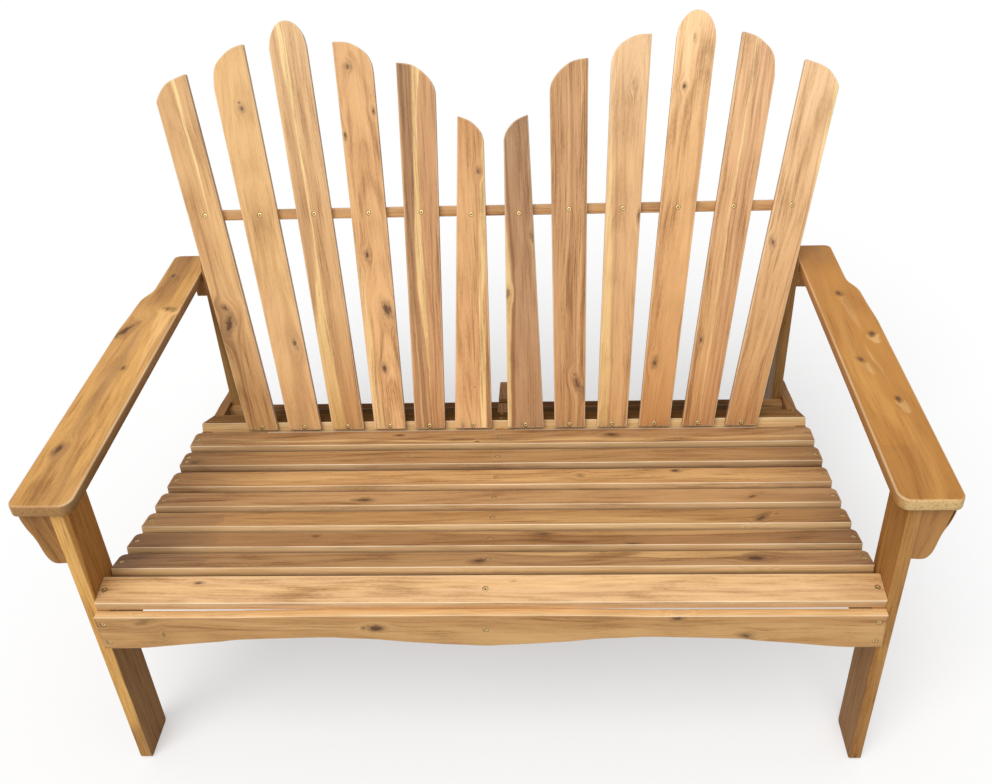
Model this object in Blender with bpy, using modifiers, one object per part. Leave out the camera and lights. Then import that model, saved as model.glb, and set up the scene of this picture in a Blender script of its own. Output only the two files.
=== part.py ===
"""Adirondack loveseat: a fixed slatted wooden bench for two with a fanned, double-arched back.

The front faces -Y, and left and right are those of someone who looks at the front, so right is +X.
The pieces are laid out from the front faces of the front legs and from the floor. At the end they
move together, so that the origin lies on the floor under the middle of the bench's box.
"""

import math

import bmesh
import bpy
import numpy as np
from mathutils import Matrix, Vector

# Boards and fits, in metres
board_thickness = 0.019
back_slat_thickness = 0.013
seat_slat_thickness = 0.0155
apron_thickness = 0.0142
joint_gap = 0.0003
edge_chamfer = 0.0015
weld_distance = 0.00001
flat_face_share = 0.9
cut_overrun = 0.001

# Seat: the slats, and the line of the stringers' tops under them, from its nose to its lowest point
half_seat_length = 0.585
seat_slat_widths = (0.0488, 0.045, 0.045, 0.045, 0.045, 0.0485, 0.045, 0.046)
seat_slat_front_radius = 0.0025
seat_slat_rear_radius = 0.010
nose_height = 0.3638
nose_rise_angle = math.radians(9.3)
front_slat_y = 0.0225
nose_pitch = 0.0636
seat_run = 0.3896
seat_slat_shares = (0.0, 0.162, 0.3257, 0.4887, 0.6577, 0.8319, 1.0)
seat_low_setback = 0.1243
seat_drop = 0.0709
seat_curve_radius = 2.0

# Stringers
stringer_front_depth = 0.0788
rear_foot_setback = 0.1263
rear_foot_length = 0.070
stringer_tail_shares = (
    (0.16, 0.984), (0.36, 0.955), (0.47, 0.943), (0.56, 0.911),
    (0.64, 0.839), (0.72, 0.723), (0.86, 0.370), (1.0, 0.0),
)
stringer_underside_shares = (
    (1.0, 0.0), (0.95, 0.32), (0.89, 0.54), (0.81, 0.67),
    (0.70, 0.72), (0.51, 0.76), (0.25, 0.86), (0.0, 1.0),
)

# Front legs
leg_width = 0.078
leg_foot_chamfer = 0.004
arm_rise = 0.1922

# Arms, brackets and cleats
arm_front_overhang = 0.008
arm_rear_inset = 0.007
arm_front_width = 0.0907
arm_rear_width = 0.0707
arm_step_setback = 0.278
arm_step_length = 0.150
arm_step_shares = ((0.0, 1.0), (0.43, 0.80), (0.72, 0.66), (0.90, 0.12), (1.0, 0.0))
arm_front_outer_radius = 0.013
arm_front_inner_radius = 0.018
arm_rear_outer_radius = 0.012
arm_rear_inner_radius = 0.006
bracket_front_y = 0.005
bracket_width = 0.0475
bracket_height = 0.1025
bracket_edge_shares = (
    (1.0, 0.0), (1.0, 0.13), (0.96, 0.24), (0.89, 0.36), (0.80, 0.47), (0.73, 0.60),
    (0.68, 0.75), (0.62, 0.87), (0.50, 0.97), (0.33, 1.0), (0.0, 0.99),
)
cleat_length = 0.060
cleat_height = 0.035
cleat_rear_inset = 0.006

# Apron
apron_overlap = 0.0017
apron_drop = 0.0038
apron_depth = 0.0675
apron_crown = 0.003
apron_crown_shares = (
    (0.42, 0.0), (0.31, 0.55), (0.17, 0.92), (-0.10, 1.0), (-0.36, 0.96), (-0.52, 0.6), (-0.64, 0.0),
)
apron_edge_shares = (
    (0.0, 0.93), (0.10, 0.88), (0.21, 0.80), (0.28, 0.72), (0.36, 0.68), (0.43, 0.655),
    (0.63, 0.72), (0.68, 0.775), (0.79, 0.88), (0.90, 0.99), (1.0, 1.0),
)

# Back: the leaning plane of the rails' front edges, measured from the lower rail's front top edge.
# Widths and centres run across from the viewer's left; tops and crowns from each end to the middle.
back_lean_angle = math.radians(24.48)
back_setback = 0.0586
back_rise = 0.0148
back_slat_drop = 0.0123
back_slat_tops = (0.660, 0.710, 0.750, 0.710, 0.671, 0.574)
back_slat_foot_widths = (
    0.0590, 0.0624, 0.0613, 0.0602, 0.0580, 0.0716, 0.0695, 0.0584, 0.0572, 0.0589, 0.0603, 0.0603,
)
back_slat_head_widths = (
    0.0682, 0.0710, 0.0694, 0.0702, 0.0705, 0.0469, 0.0452, 0.0709, 0.0714, 0.0716, 0.0711, 0.0717,
)
back_slat_foot_shares = (
    -0.7884, -0.6467, -0.5031, -0.3636, -0.2315, -0.0880, 0.0850, 0.2291, 0.3670, 0.5044, 0.6460, 0.7863,
)
back_slat_head_shares = (
    -1.0239, -0.8378, -0.6456, -0.4369, -0.2393, -0.0726, 0.0697, 0.2374, 0.4326, 0.6379, 0.8304, 1.0239,
)
back_slat_crown_shares = (
    ((0.0, 0.927), (0.20, 0.955), (0.47, 0.979), (1.0, 1.0)),
    ((0.0, 0.885), (0.07, 0.927), (0.22, 0.956), (0.63, 0.988), (1.0, 1.0)),
    ((0.0, 0.930), (0.06, 0.957), (0.25, 0.987), (0.54, 1.0), (0.80, 0.988), (0.96, 0.962), (1.0, 0.935)),
    ((0.0, 1.0), (0.41, 0.997), (0.80, 0.975), (0.97, 0.945), (1.0, 0.913)),
    ((0.0, 1.0), (0.42, 0.9925), (0.78, 0.964), (0.96, 0.935), (1.0, 0.912)),
    ((0.0, 1.0), (0.52, 0.982), (0.90, 0.948), (1.0, 0.918)),
)

# Rails, stretcher and rear posts
lower_rail_width = 0.075
upper_rail_width = 0.065
upper_rail_overhang = 0.010
upper_rail_foot = 0.392
stretcher_drop = 0.0309
stretcher_height = 0.040
post_setback = 0.1244
post_width = 0.0763
post_foot_drop = 0.072

# Countersunk screws
screw_head_radius = 0.004
screw_head_depth = 0.0024
screw_shank_radius = 0.0018
screw_point_length = 0.004
short_screw_length = 0.032
long_screw_length = 0.040
stretcher_screw_length = 0.056
apron_screw_drops = (0.015, 0.0535)
apron_middle_screw_drop = 0.028
lower_rail_screw_insets = (0.023, 0.064)
upper_rail_screw_inset = 0.021
twin_screw_spacing = 0.014
twin_screw_slat = 7
back_slat_screw_drop = 0.0062
middle_screw_sag = 0.006
leg_screw_shares = ((0.26, 0.31), (0.74, 0.75))
post_screw_shares = ((0.21, 0.76), (0.78, 0.35))

# Counts
curve_steps = 2
corner_steps = 3
screw_sides = 8

RIGHT = Vector((1, 0, 0))
REAR = Vector((0, 1, 0))
UP = Vector((0, 0, 1))
BACK_UP = Vector((0, math.sin(back_lean_angle), math.cos(back_lean_angle)))
BACK_REAR = Vector((0, math.cos(back_lean_angle), -math.sin(back_lean_angle)))

# Places worked out from the sizes above
second_slat_y = front_slat_y + nose_pitch
last_slat_y = second_slat_y + seat_run
seat_low_y = last_slat_y + seat_low_setback
back_foot_y = last_slat_y + back_setback
post_front_y = back_foot_y + post_setback
post_rear_y = post_front_y + post_width
rear_foot_front_y = post_front_y + rear_foot_setback
arm_rear_y = post_rear_y - arm_rear_inset
arm_step_start_y = arm_rear_y - arm_step_setback
seat_low_height = nose_height - seat_drop
back_foot_height = seat_low_height + back_rise
stretcher_top_height = seat_low_height - stretcher_drop
post_foot_height = stretcher_top_height - post_foot_drop
stringer_front_height = nose_height - stringer_front_depth
apron_top_height = nose_height - apron_drop
leg_height = nose_height + arm_rise
apron_half_length = half_seat_length + apron_overlap
stringer_inner_x = half_seat_length - board_thickness
upper_rail_half_length = stringer_inner_x + upper_rail_overhang
stringer_centre_x = half_seat_length - board_thickness / 2
leg_inner_x = half_seat_length + joint_gap
leg_outer_x = leg_inner_x + board_thickness
arm_underside_height = leg_height + joint_gap
arm_inner_x = stringer_inner_x + joint_gap
post_inner_x = stringer_inner_x - joint_gap - board_thickness
post_centre_x = post_inner_x + board_thickness / 2
rear_foot_rear_y = rear_foot_front_y + rear_foot_length
stretcher_middle_y = post_front_y - joint_gap - board_thickness / 2
centre_y = (rear_foot_rear_y - apron_thickness - joint_gap) / 2


def clear_scene():
    """Removes what the scene holds."""
    for item in list(bpy.data.objects):
        bpy.data.objects.remove(item, do_unlink=True)


def new_collection(name):
    """A collection under the scene's own."""
    collection = bpy.data.collections.new(name)
    bpy.context.scene.collection.children.link(collection)
    return collection


def linear(hex_colour):
    """The linear colour of a six-digit sRGB value."""
    parts = [int(hex_colour[i : i + 2], 16) / 255 for i in (0, 2, 4)]
    return [part / 12.92 if part <= 0.04045 else ((part + 0.055) / 1.055) ** 2.4 for part in parts] + [1]


def surface(name, hex_colour, roughness, metallic=0):
    """A material with one colour and finish."""
    material = bpy.data.materials.new(name)
    material.use_nodes = True
    shader = material.node_tree.nodes["Principled BSDF"]
    shader.inputs["Base Color"].default_value = linear(hex_colour)
    shader.inputs["Roughness"].default_value = roughness
    shader.inputs["Metallic"].default_value = metallic
    material.diffuse_color = linear(hex_colour)
    return material


def golden_wood():
    """The lighter oiled boards of the arms, legs and brackets."""
    return surface("golden_acacia", "B07A3E", 0.5)


def fan_wood():
    """The orange-brown oiled boards of the back's fan."""
    return surface("orange_acacia", "A5683A", 0.5)


def seat_wood():
    """The browner, handled boards of the seat and apron."""
    return surface("brown_acacia", "8A5530", 0.45)


def frame_wood():
    """The darker boards of the frame behind and below."""
    return surface("dark_acacia", "6E4122", 0.55)


def plated_steel():
    """The yellowish zinc of the screws."""
    return surface("zinc_plated_steel", "A8966A", 0.35, 1)


def pose(origin, along, across):
    """The pose with local X along the first direction, local Y along the second and Z square to both."""
    through = along.cross(across)
    matrix = Matrix((along, across, through)).transposed().to_4x4()
    matrix.translation = origin
    return matrix


def back_point(x, rise, depth):
    """A point by its place across, up along the leaning back, and rearwards square to it."""
    foot = Vector((x, back_foot_y, back_foot_height))
    return foot + BACK_UP * rise + BACK_REAR * depth


def flowing(points, steps=curve_steps):
    """Points of a smooth curve through all the given ones, both ends included."""
    knots = np.array(points, dtype=float)
    first = knots[0] - (knots[1] - knots[0])
    last = knots[-1] + (knots[-1] - knots[-2])
    padded = np.vstack((first, knots, last))
    curve = []
    for before, start, end, after in zip(padded, padded[1:], padded[2:], padded[3:]):
        for t in np.arange(steps) / steps:
            bend = 2 * before - 5 * start + 4 * end - after
            twist = 3 * start - before - 3 * end + after
            curve.append(start + ((end - before) * t + bend * t**2 + twist * t**3) / 2)
    curve.append(knots[-1])
    return [tuple(point) for point in curve]


def rounded(corner, before, after, radius):
    """Points of the arc that rounds a corner, tangent to its sides towards the points before and after it."""
    corner = Vector(corner)
    back = (Vector(before) - corner).normalized()
    ahead = (Vector(after) - corner).normalized()
    half_angle = back.angle(ahead) / 2
    centre = corner + (back + ahead).normalized() * (radius / math.sin(half_angle))
    start = corner + back * (radius / math.tan(half_angle)) - centre
    end = corner + ahead * (radius / math.tan(half_angle)) - centre
    sweep = start.angle(end)
    arc = []
    for step in range(corner_steps + 1):
        t = step / corner_steps
        spoke = start * math.sin((1 - t) * sweep) + end * math.sin(t * sweep)
        arc.append(tuple(centre + spoke / math.sin(sweep)))
    return arc


def mirrored(outline):
    """The outline on the other side of local Y, kept running the same way round."""
    return [(-u, v) for u, v in reversed(outline)]


def finished(name, mesh, matrix, material, collection):
    """An object of this mesh, in its place, material and collection."""
    item = bpy.data.objects.new(name, mesh)
    item.matrix_world = matrix
    mesh.materials.append(material)
    collection.objects.link(item)
    return item


def solid_mesh(source):
    """The welded mesh of an object as it is evaluated; the object itself is removed."""
    graph = bpy.context.evaluated_depsgraph_get()
    mesh = bpy.data.meshes.new_from_object(source.evaluated_get(graph))
    bpy.data.objects.remove(source)
    shell = bmesh.new()
    shell.from_mesh(mesh)
    bmesh.ops.remove_doubles(shell, verts=shell.verts, dist=weld_distance)
    bmesh.ops.recalc_face_normals(shell, faces=shell.faces)
    shell.to_mesh(mesh)
    shell.free()
    mesh.materials.clear()
    return mesh


def ease_edges(mesh, chamfer):
    """Raises both flat faces of a board's mesh by the chamfer and draws their rims in by as much."""
    shell = bmesh.new()
    shell.from_mesh(mesh)
    for side in (-1, 1):
        cap = [face for face in shell.faces if face.normal.z * side > flat_face_share]
        bmesh.ops.inset_region(shell, faces=cap, thickness=chamfer, depth=chamfer, use_even_offset=True)
    shell.to_mesh(mesh)
    shell.free()


def board(name, outline, thickness, matrix, material, chamfer=0):
    """A flat board with this outline in its local XY plane, half of its thickness on each side."""
    curve = bpy.data.curves.new(name + "_outline", "CURVE")
    curve.dimensions = "2D"
    curve.fill_mode = "BOTH"
    curve.extrude = thickness / 2 - chamfer
    spline = curve.splines.new("POLY")
    spline.points.add(len(outline) - 1)
    for point, (u, v) in zip(spline.points, outline):
        point.co = (u, v, 0, 1)
    spline.use_cyclic_u = True
    source = bpy.data.objects.new(name + "_outline", curve)
    bpy.context.scene.collection.objects.link(source)
    mesh = solid_mesh(source)
    if chamfer:
        ease_edges(mesh, chamfer)
    return finished(name, mesh, matrix, material, parts)


def oblong(half_length, half_width):
    """A rectangle about the local origin."""
    corners = ((-1, -1), (1, -1), (1, 1), (-1, 1))
    return [(u * half_length, v * half_width) for u, v in corners]


def turned_mesh(profile):
    """The solid that a profile, running down its outer side, sweeps round local Z."""
    mesh = bpy.data.meshes.new("profile")
    points = [(radius, 0, height) for radius, height in profile]
    mesh.from_pydata(points, [(i, i + 1) for i in range(len(points) - 1)], [])
    source = bpy.data.objects.new("profile", mesh)
    bpy.context.scene.collection.objects.link(source)
    sweep = source.modifiers.new("sweep", "SCREW")
    sweep.steps = screw_sides
    sweep.render_steps = screw_sides
    sweep.use_merge_vertices = True
    sweep.merge_threshold = weld_distance
    return solid_mesh(source)


def aimed(origin, outward):
    """The pose of a screw whose head looks along the outward direction."""
    matrix = outward.to_track_quat("Z", "Y").to_matrix().to_4x4()
    matrix.translation = origin
    return matrix


def drill(name, length, places, boards):
    """Countersunk screw holes at these places and outward directions, cut through each of the boards."""
    flare = (screw_head_radius - screw_shank_radius) / screw_head_depth
    mouth_radius = screw_head_radius + joint_gap + flare * cut_overrun
    neck_radius = screw_shank_radius + joint_gap
    end = -length - joint_gap
    profile = [(0, cut_overrun), (mouth_radius, cut_overrun), (neck_radius, -screw_head_depth)]
    hole = turned_mesh(profile + [(neck_radius, end), (0, end)])
    group = bmesh.new()
    for origin, outward in places:
        copy = hole.copy()
        copy.transform(aimed(origin, outward))
        group.from_mesh(copy)
        bpy.data.meshes.remove(copy)
    mesh = bpy.data.meshes.new(name + "_holes")
    group.to_mesh(mesh)
    group.free()
    cutter = finished(name + "_holes", mesh, Matrix.Identity(4), steel, cutters)
    cutter.hide_render = True
    cutter.display_type = "WIRE"
    for piece in boards:
        cut = piece.modifiers.new(name + "_holes", "BOOLEAN")
        cut.operation = "DIFFERENCE"
        cut.solver = "EXACT"
        cut.object = cutter


def screwed(name, length, places, boards):
    """Countersunk screws at these places and outward directions, each its own piece, with their holes."""
    drill(name, length, places, boards)
    shaft_end = screw_point_length - length
    profile = [(0, 0), (screw_head_radius, 0), (screw_shank_radius, -screw_head_depth)]
    mesh = turned_mesh(profile + [(screw_shank_radius, shaft_end), (0, -length)])
    mesh.shade_smooth()
    mesh.set_sharp_from_angle(angle=math.radians(30))
    mesh.materials.append(steel)
    for number, (origin, outward) in enumerate(places, 1):
        item = bpy.data.objects.new(f"{name}_{number}", mesh)
        item.matrix_world = aimed(origin, outward)
        parts.objects.link(item)


def sides():
    """The two sides of the bench, by name, with the sign of X there."""
    return (("left", -1), ("right", 1))


def seat_facets():
    """For each seat slat: the point of the stringers' top under its middle, and the slope there."""
    nose_slope = math.tan(nose_rise_angle)
    facets = [(front_slat_y, nose_height + front_slat_y * nose_slope, nose_slope)]
    for share in seat_slat_shares:
        y = second_slat_y + seat_run * share
        offset = y - seat_low_y
        height = seat_low_height + offset**2 / (2 * seat_curve_radius)
        facets.append((y, height, offset / seat_curve_radius))
    return facets


def facet_crossing(first, second):
    """Where the lines of two neighbouring facets meet."""
    y_1, z_1, slope_1 = first
    y_2, z_2, slope_2 = second
    y = (z_2 - z_1 + slope_1 * y_1 - slope_2 * y_2) / (slope_1 - slope_2)
    return (y, z_1 + slope_1 * (y - y_1))


def rail_seat_corner(depth):
    """A corner of the stringers' notch for the lower rail, at its floor."""
    corner = back_point(0, -board_thickness - joint_gap, depth)
    return (corner.y, corner.z)


def stringer_top():
    """The stringers' top edge from the front end to the notch's rear wall."""
    facets = seat_facets()
    top = [(0, nose_height)]
    top += [facet_crossing(*pair) for pair in zip(facets, facets[1:])]
    y, z, slope = facets[-1]
    wall_y, wall_z = rail_seat_corner(-joint_gap)
    # The notch's front wall leans with the back, so it meets the last facet a little further back.
    wall_slope = BACK_UP.y / BACK_UP.z
    rise = (z + slope * (wall_y - y) - wall_z) / (1 - slope * wall_slope)
    top += [(wall_y + rise * wall_slope, wall_z + rise)]
    top += [(wall_y, wall_z), rail_seat_corner(lower_rail_width + joint_gap)]
    return top


def stringer_outline(notched):
    """A stringer from the side; the middle one is also notched for the stretcher."""
    outline = stringer_top()
    rim = back_point(0, 0, lower_rail_width + joint_gap)
    tail = [(rim.y, rim.z)]
    for y_share, z_share in stringer_tail_shares:
        tail.append((rim.y + (rear_foot_rear_y - rim.y) * y_share, rim.z * z_share))
    tail = flowing(tail)
    if notched:
        slot_start = stretcher_middle_y - board_thickness / 2 - joint_gap
        slot_end = stretcher_middle_y + board_thickness / 2 + joint_gap
        floor_height = stretcher_top_height - stretcher_height - joint_gap
        ahead = [point for point in tail if point[0] < slot_start]
        behind = [point for point in tail if point[0] > slot_end]
        lip = np.interp((slot_start, slot_end), *zip(*tail))
        slot = [(slot_start, lip[0]), (slot_start, floor_height)]
        slot += [(slot_end, floor_height), (slot_end, lip[1])]
        tail = ahead + slot + behind
    underside = [(y * rear_foot_front_y, z * stringer_front_height) for y, z in stringer_underside_shares]
    return outline + tail + flowing(underside)


def make_stringers():
    """The three side-on boards that carry the seat and end in the rear feet."""
    made = {}
    for name, sign in (*sides(), ("centre", 0)):
        outline = stringer_outline(notched=not sign)
        matrix = pose(RIGHT * sign * stringer_centre_x, REAR, UP)
        made[name] = board("seat_stringer_" + name, outline, board_thickness, matrix, dark)
    return made


def make_legs():
    """The upright front legs, with their foot corners cut off."""
    made = {}
    chamfer = leg_foot_chamfer
    outline = [(chamfer, 0), (leg_width - chamfer, 0), (leg_width, chamfer)]
    outline += [(leg_width, leg_height), (0, leg_height), (0, chamfer)]
    for name, sign in sides():
        matrix = pose(RIGHT * sign * (leg_inner_x + board_thickness / 2), REAR, UP)
        made[name] = board("front_leg_" + name, outline, board_thickness, matrix, golden, edge_chamfer)
    return made


def arm_outline():
    """The right arm from above: a wide front, a step and a narrow rear."""
    front_y = -arm_front_overhang
    wide_x = arm_inner_x + arm_front_width
    narrow_x = arm_inner_x + arm_rear_width
    front_inner = (arm_inner_x, front_y)
    front_outer = (wide_x, front_y)
    rear_outer = (narrow_x, arm_rear_y)
    rear_inner = (arm_inner_x, arm_rear_y)
    step = []
    for y_share, x_share in arm_step_shares:
        y = arm_step_start_y + arm_step_length * y_share
        step.append((narrow_x + (wide_x - narrow_x) * x_share, y))
    outline = rounded(front_inner, rear_inner, front_outer, arm_front_inner_radius)
    outline += rounded(front_outer, front_inner, step[0], arm_front_outer_radius)
    outline += flowing(step)
    outline += rounded(rear_outer, step[-1], rear_inner, arm_rear_outer_radius)
    outline += rounded(rear_inner, rear_outer, front_inner, arm_rear_inner_radius)
    return outline


def make_arms():
    """The flat arms on the legs, brackets and cleats."""
    made = {}
    matrix = pose(UP * (arm_underside_height + board_thickness / 2), RIGHT, REAR)
    for name, sign in sides():
        outline = arm_outline() if sign > 0 else mirrored(arm_outline())
        made[name] = board("arm_" + name, outline, board_thickness, matrix, golden, edge_chamfer)
    return made


def make_brackets():
    """The scrolled brackets that stand outside the legs and face the front."""
    made = {}
    wall_x = leg_outer_x + joint_gap
    top_height = arm_underside_height - joint_gap
    edge = [(wall_x + bracket_width * x, top_height - bracket_height * z) for x, z in bracket_edge_shares]
    outline = [(wall_x, top_height)] + flowing(edge)
    matrix = pose(REAR * (bracket_front_y + board_thickness / 2), RIGHT, UP)
    for name, sign in sides():
        shape = outline if sign > 0 else mirrored(outline)
        made[name] = board("arm_bracket_" + name, shape, board_thickness, matrix, golden)
    return made


def make_cleats():
    """The blocks on the posts' outer faces that carry the arms' rear ends."""
    made = {}
    middle_y = arm_rear_y - cleat_rear_inset - cleat_length / 2
    middle_height = arm_underside_height - joint_gap - cleat_height / 2
    for name, sign in sides():
        middle = Vector((sign * (arm_inner_x + board_thickness / 2), middle_y, middle_height))
        outline = oblong(cleat_length / 2, cleat_height / 2)
        made[name] = board("rear_arm_cleat_" + name, outline, board_thickness, pose(middle, REAR, UP), dark)
    return made


def make_apron():
    """The front board below the seat: two shallow arches below, and a slight crown to its top edge."""
    edge = []
    for x_share, depth_share in apron_edge_shares:
        edge.append((apron_half_length * x_share, apron_top_height - apron_depth * depth_share))
    lower = flowing(edge)
    crown = []
    for x_share, rise_share in apron_crown_shares:
        crown.append((apron_half_length * x_share, apron_top_height + apron_crown * rise_share))
    outline = lower + [(apron_half_length, apron_top_height)] + flowing(crown)
    outline += [(-apron_half_length, apron_top_height)] + mirrored(lower)[:-1]
    matrix = pose(REAR * (-joint_gap - apron_thickness / 2), RIGHT, UP)
    return board("front_apron", outline, apron_thickness, matrix, brown, edge_chamfer)


def seat_slat_pose(facet):
    """The pose of a seat slat that lies on this facet of the stringers."""
    y, z, slope = facet
    across = Vector((0, 1, slope)).normalized()
    normal = RIGHT.cross(across)
    return pose(Vector((0, y, z)) + normal * (joint_gap + seat_slat_thickness / 2), RIGHT, across)


def seat_slat_outline(width, rear_radius):
    """A seat slat of this width, its front corners hardly rounded and its rear ones by this radius."""
    outline = []
    corners = oblong(half_seat_length, width / 2)
    for index, corner in enumerate(corners):
        after = corners[(index + 1) % len(corners)]
        radius = rear_radius if corner[1] > 0 else seat_slat_front_radius
        outline += rounded(corner, corners[index - 1], after, radius)
    return outline


def make_seat_slats():
    """The eight slats of the seat, front to back; the front one's rear corners are as sharp as its front ones."""
    made = []
    for number, facet in enumerate(seat_facets(), 1):
        radius = seat_slat_rear_radius if made else seat_slat_front_radius
        outline = seat_slat_outline(seat_slat_widths[number - 1], radius)
        matrix = seat_slat_pose(facet)
        made.append(board(f"seat_slat_{number}", outline, seat_slat_thickness, matrix, brown, edge_chamfer))
    return made


def back_slat_twin(index):
    """How many slats stand between this one, counted from the viewer's left, and its end of the fan."""
    return min(index, len(back_slat_foot_shares) - 1 - index)


def back_slat_share(index, rise):
    """Where this rise lies between a back slat's foot and its top."""
    return (rise + back_slat_drop) / (back_slat_tops[back_slat_twin(index)] + back_slat_drop)


def back_slat_centre(index, rise):
    """The place across the bench of a back slat's centre line at this rise."""
    foot_x = half_seat_length * back_slat_foot_shares[index]
    head_x = half_seat_length * back_slat_head_shares[index]
    return foot_x + (head_x - foot_x) * back_slat_share(index, rise)


def back_slat_width(index, rise):
    """A back slat's width at this rise."""
    foot_width = back_slat_foot_widths[index]
    head_width = back_slat_head_widths[index]
    return foot_width + (head_width - foot_width) * back_slat_share(index, rise)


def back_slat_outline(index):
    """A back slat from its foot to its crown, drawn as on the right half and mirrored for the left."""
    twin = back_slat_twin(index)
    side = 1 if index > twin else -1
    foot = -back_slat_drop
    foot_x = side * back_slat_centre(index, foot)
    half_foot = back_slat_width(index, foot) / 2
    crown = []
    for across_share, rise_share in back_slat_crown_shares[twin]:
        rise = back_slat_tops[twin] * rise_share
        reach = back_slat_width(index, rise) * (1 / 2 - across_share)
        crown.append((side * back_slat_centre(index, rise) + reach, rise))
    outline = [(foot_x - half_foot, foot), (foot_x + half_foot, foot)] + flowing(crown)
    return outline if side > 0 else mirrored(outline)


def make_back_slats():
    """The fan of back slats, numbered across from the viewer's left."""
    made = []
    matrix = pose(back_point(0, 0, -joint_gap - back_slat_thickness / 2), RIGHT, BACK_UP)
    for index in range(len(back_slat_foot_shares)):
        outline = back_slat_outline(index)
        name = f"back_slat_{index + 1}"
        made.append(board(name, outline, back_slat_thickness, matrix, fan, edge_chamfer))
    return made


def make_lower_rail():
    """The flat board behind the back slats' feet, let into the stringers."""
    middle = back_point(0, -board_thickness / 2, lower_rail_width / 2)
    outline = oblong(half_seat_length, lower_rail_width / 2)
    return board("lower_back_rail", outline, board_thickness, pose(middle, RIGHT, BACK_REAR), dark)


def make_upper_rail():
    """The flat board behind the back slats, lying on the rear posts."""
    middle = back_point(0, upper_rail_foot + board_thickness / 2, upper_rail_width / 2)
    outline = oblong(upper_rail_half_length, upper_rail_width / 2)
    return board("upper_back_rail", outline, board_thickness, pose(middle, RIGHT, BACK_REAR), dark)


def make_stretcher():
    """The strip on edge between the side stringers, just ahead of the posts."""
    middle = Vector((0, stretcher_middle_y, stretcher_top_height - stretcher_height / 2))
    outline = oblong(stringer_inner_x - joint_gap, stretcher_height / 2)
    return board("rear_stretcher", outline, board_thickness, pose(middle, RIGHT, UP), dark)


def make_posts():
    """The rear posts inside the side stringers, cut to the back's lean where they pass behind the slats."""
    knee_rise = (post_front_y - back_foot_y) / BACK_UP.y
    knee = back_point(0, knee_rise, 0)
    crest = back_point(0, upper_rail_foot - joint_gap, 0)
    rear_depth = (post_rear_y - crest.y) / BACK_REAR.y
    heel = back_point(0, upper_rail_foot - joint_gap, rear_depth)
    outline = [(post_front_y, post_foot_height), (post_rear_y, post_foot_height), (post_rear_y, heel.z)]
    outline += [(crest.y, crest.z), (post_front_y, knee.z)]
    made = {}
    for name, sign in sides():
        matrix = pose(RIGHT * sign * post_centre_x, REAR, UP)
        made[name] = board("rear_post_" + name, outline, board_thickness, matrix, dark)
    return made


def drill_seat(slats, stringers):
    """Holes for three screws through each seat slat, with a twin at one end of one slat."""
    places = []
    for number, facet in enumerate(seat_facets(), 1):
        matrix = seat_slat_pose(facet)
        normal = matrix.col[2].to_3d()
        across = matrix.col[1].to_3d()
        top = matrix.translation + normal * (seat_slat_thickness / 2)
        shift = across * (twin_screw_spacing / 2) if number == twin_screw_slat else Vector()
        places.append((top - RIGHT * stringer_centre_x - shift, normal))
        if number == twin_screw_slat:
            places.append((top - RIGHT * stringer_centre_x + shift, normal))
        places.append((top, normal))
        places.append((top + RIGHT * stringer_centre_x, normal))
    drill("seat_slat_screw", short_screw_length, places, [*slats, *stringers.values()])


def fasten_apron(apron, stringers):
    """Two screws through each end of the apron and one at its middle, into the stringers' front ends."""
    face_y = -joint_gap - apron_thickness
    spots = [(0, apron_middle_screw_drop)]
    spots += [(sign * stringer_centre_x, drop) for _, sign in sides() for drop in apron_screw_drops]
    places = [(Vector((x, face_y, apron_top_height - drop)), -REAR) for x, drop in spots]
    screwed("apron_screw", long_screw_length, places, [apron, *stringers.values()])


def drill_back(slats, lower_rail, upper_rail):
    """Holes for one screw through each back slat into each rail; the two middle upper ones sit lower."""
    forward = -BACK_REAR
    face_depth = -joint_gap - back_slat_thickness
    rails = (
        ("lower", -back_slat_screw_drop, 0, lower_rail),
        ("upper", upper_rail_foot + board_thickness / 2, middle_screw_sag, upper_rail),
    )
    for name, height, middle_sag, rail in rails:
        places = []
        for index in range(len(slats)):
            middle = back_slat_twin(index) == len(back_slat_tops) - 1
            rise = height - middle_sag if middle else height
            places.append((back_point(back_slat_centre(index, rise), rise, face_depth), forward))
        drill(f"back_slat_{name}_screw", short_screw_length, places, [*slats, rail])


def fasten_rails(lower_rail, upper_rail, stringers, posts):
    """Screws down through the lower rail into the stringers, and through the upper rail into the posts."""
    lower = [
        (back_point(sign * stringer_centre_x, 0, inset), BACK_UP)
        for sign in (-1, 0, 1)
        for inset in lower_rail_screw_insets
    ]
    screwed("lower_rail_screw", long_screw_length, lower, [lower_rail, *stringers.values()])
    top = upper_rail_foot + board_thickness
    upper = [(back_point(sign * post_centre_x, top, upper_rail_screw_inset), BACK_UP) for _, sign in sides()]
    screwed("upper_rail_screw", long_screw_length, upper, [upper_rail, *posts.values()])


def fasten_stretcher(stretcher, middle_stringer):
    """One screw down through the stretcher into the middle stringer."""
    place = (Vector((0, stretcher_middle_y, stretcher_top_height)), UP)
    screwed("stretcher_screw", stretcher_screw_length, [place], [stretcher, middle_stringer])


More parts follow.
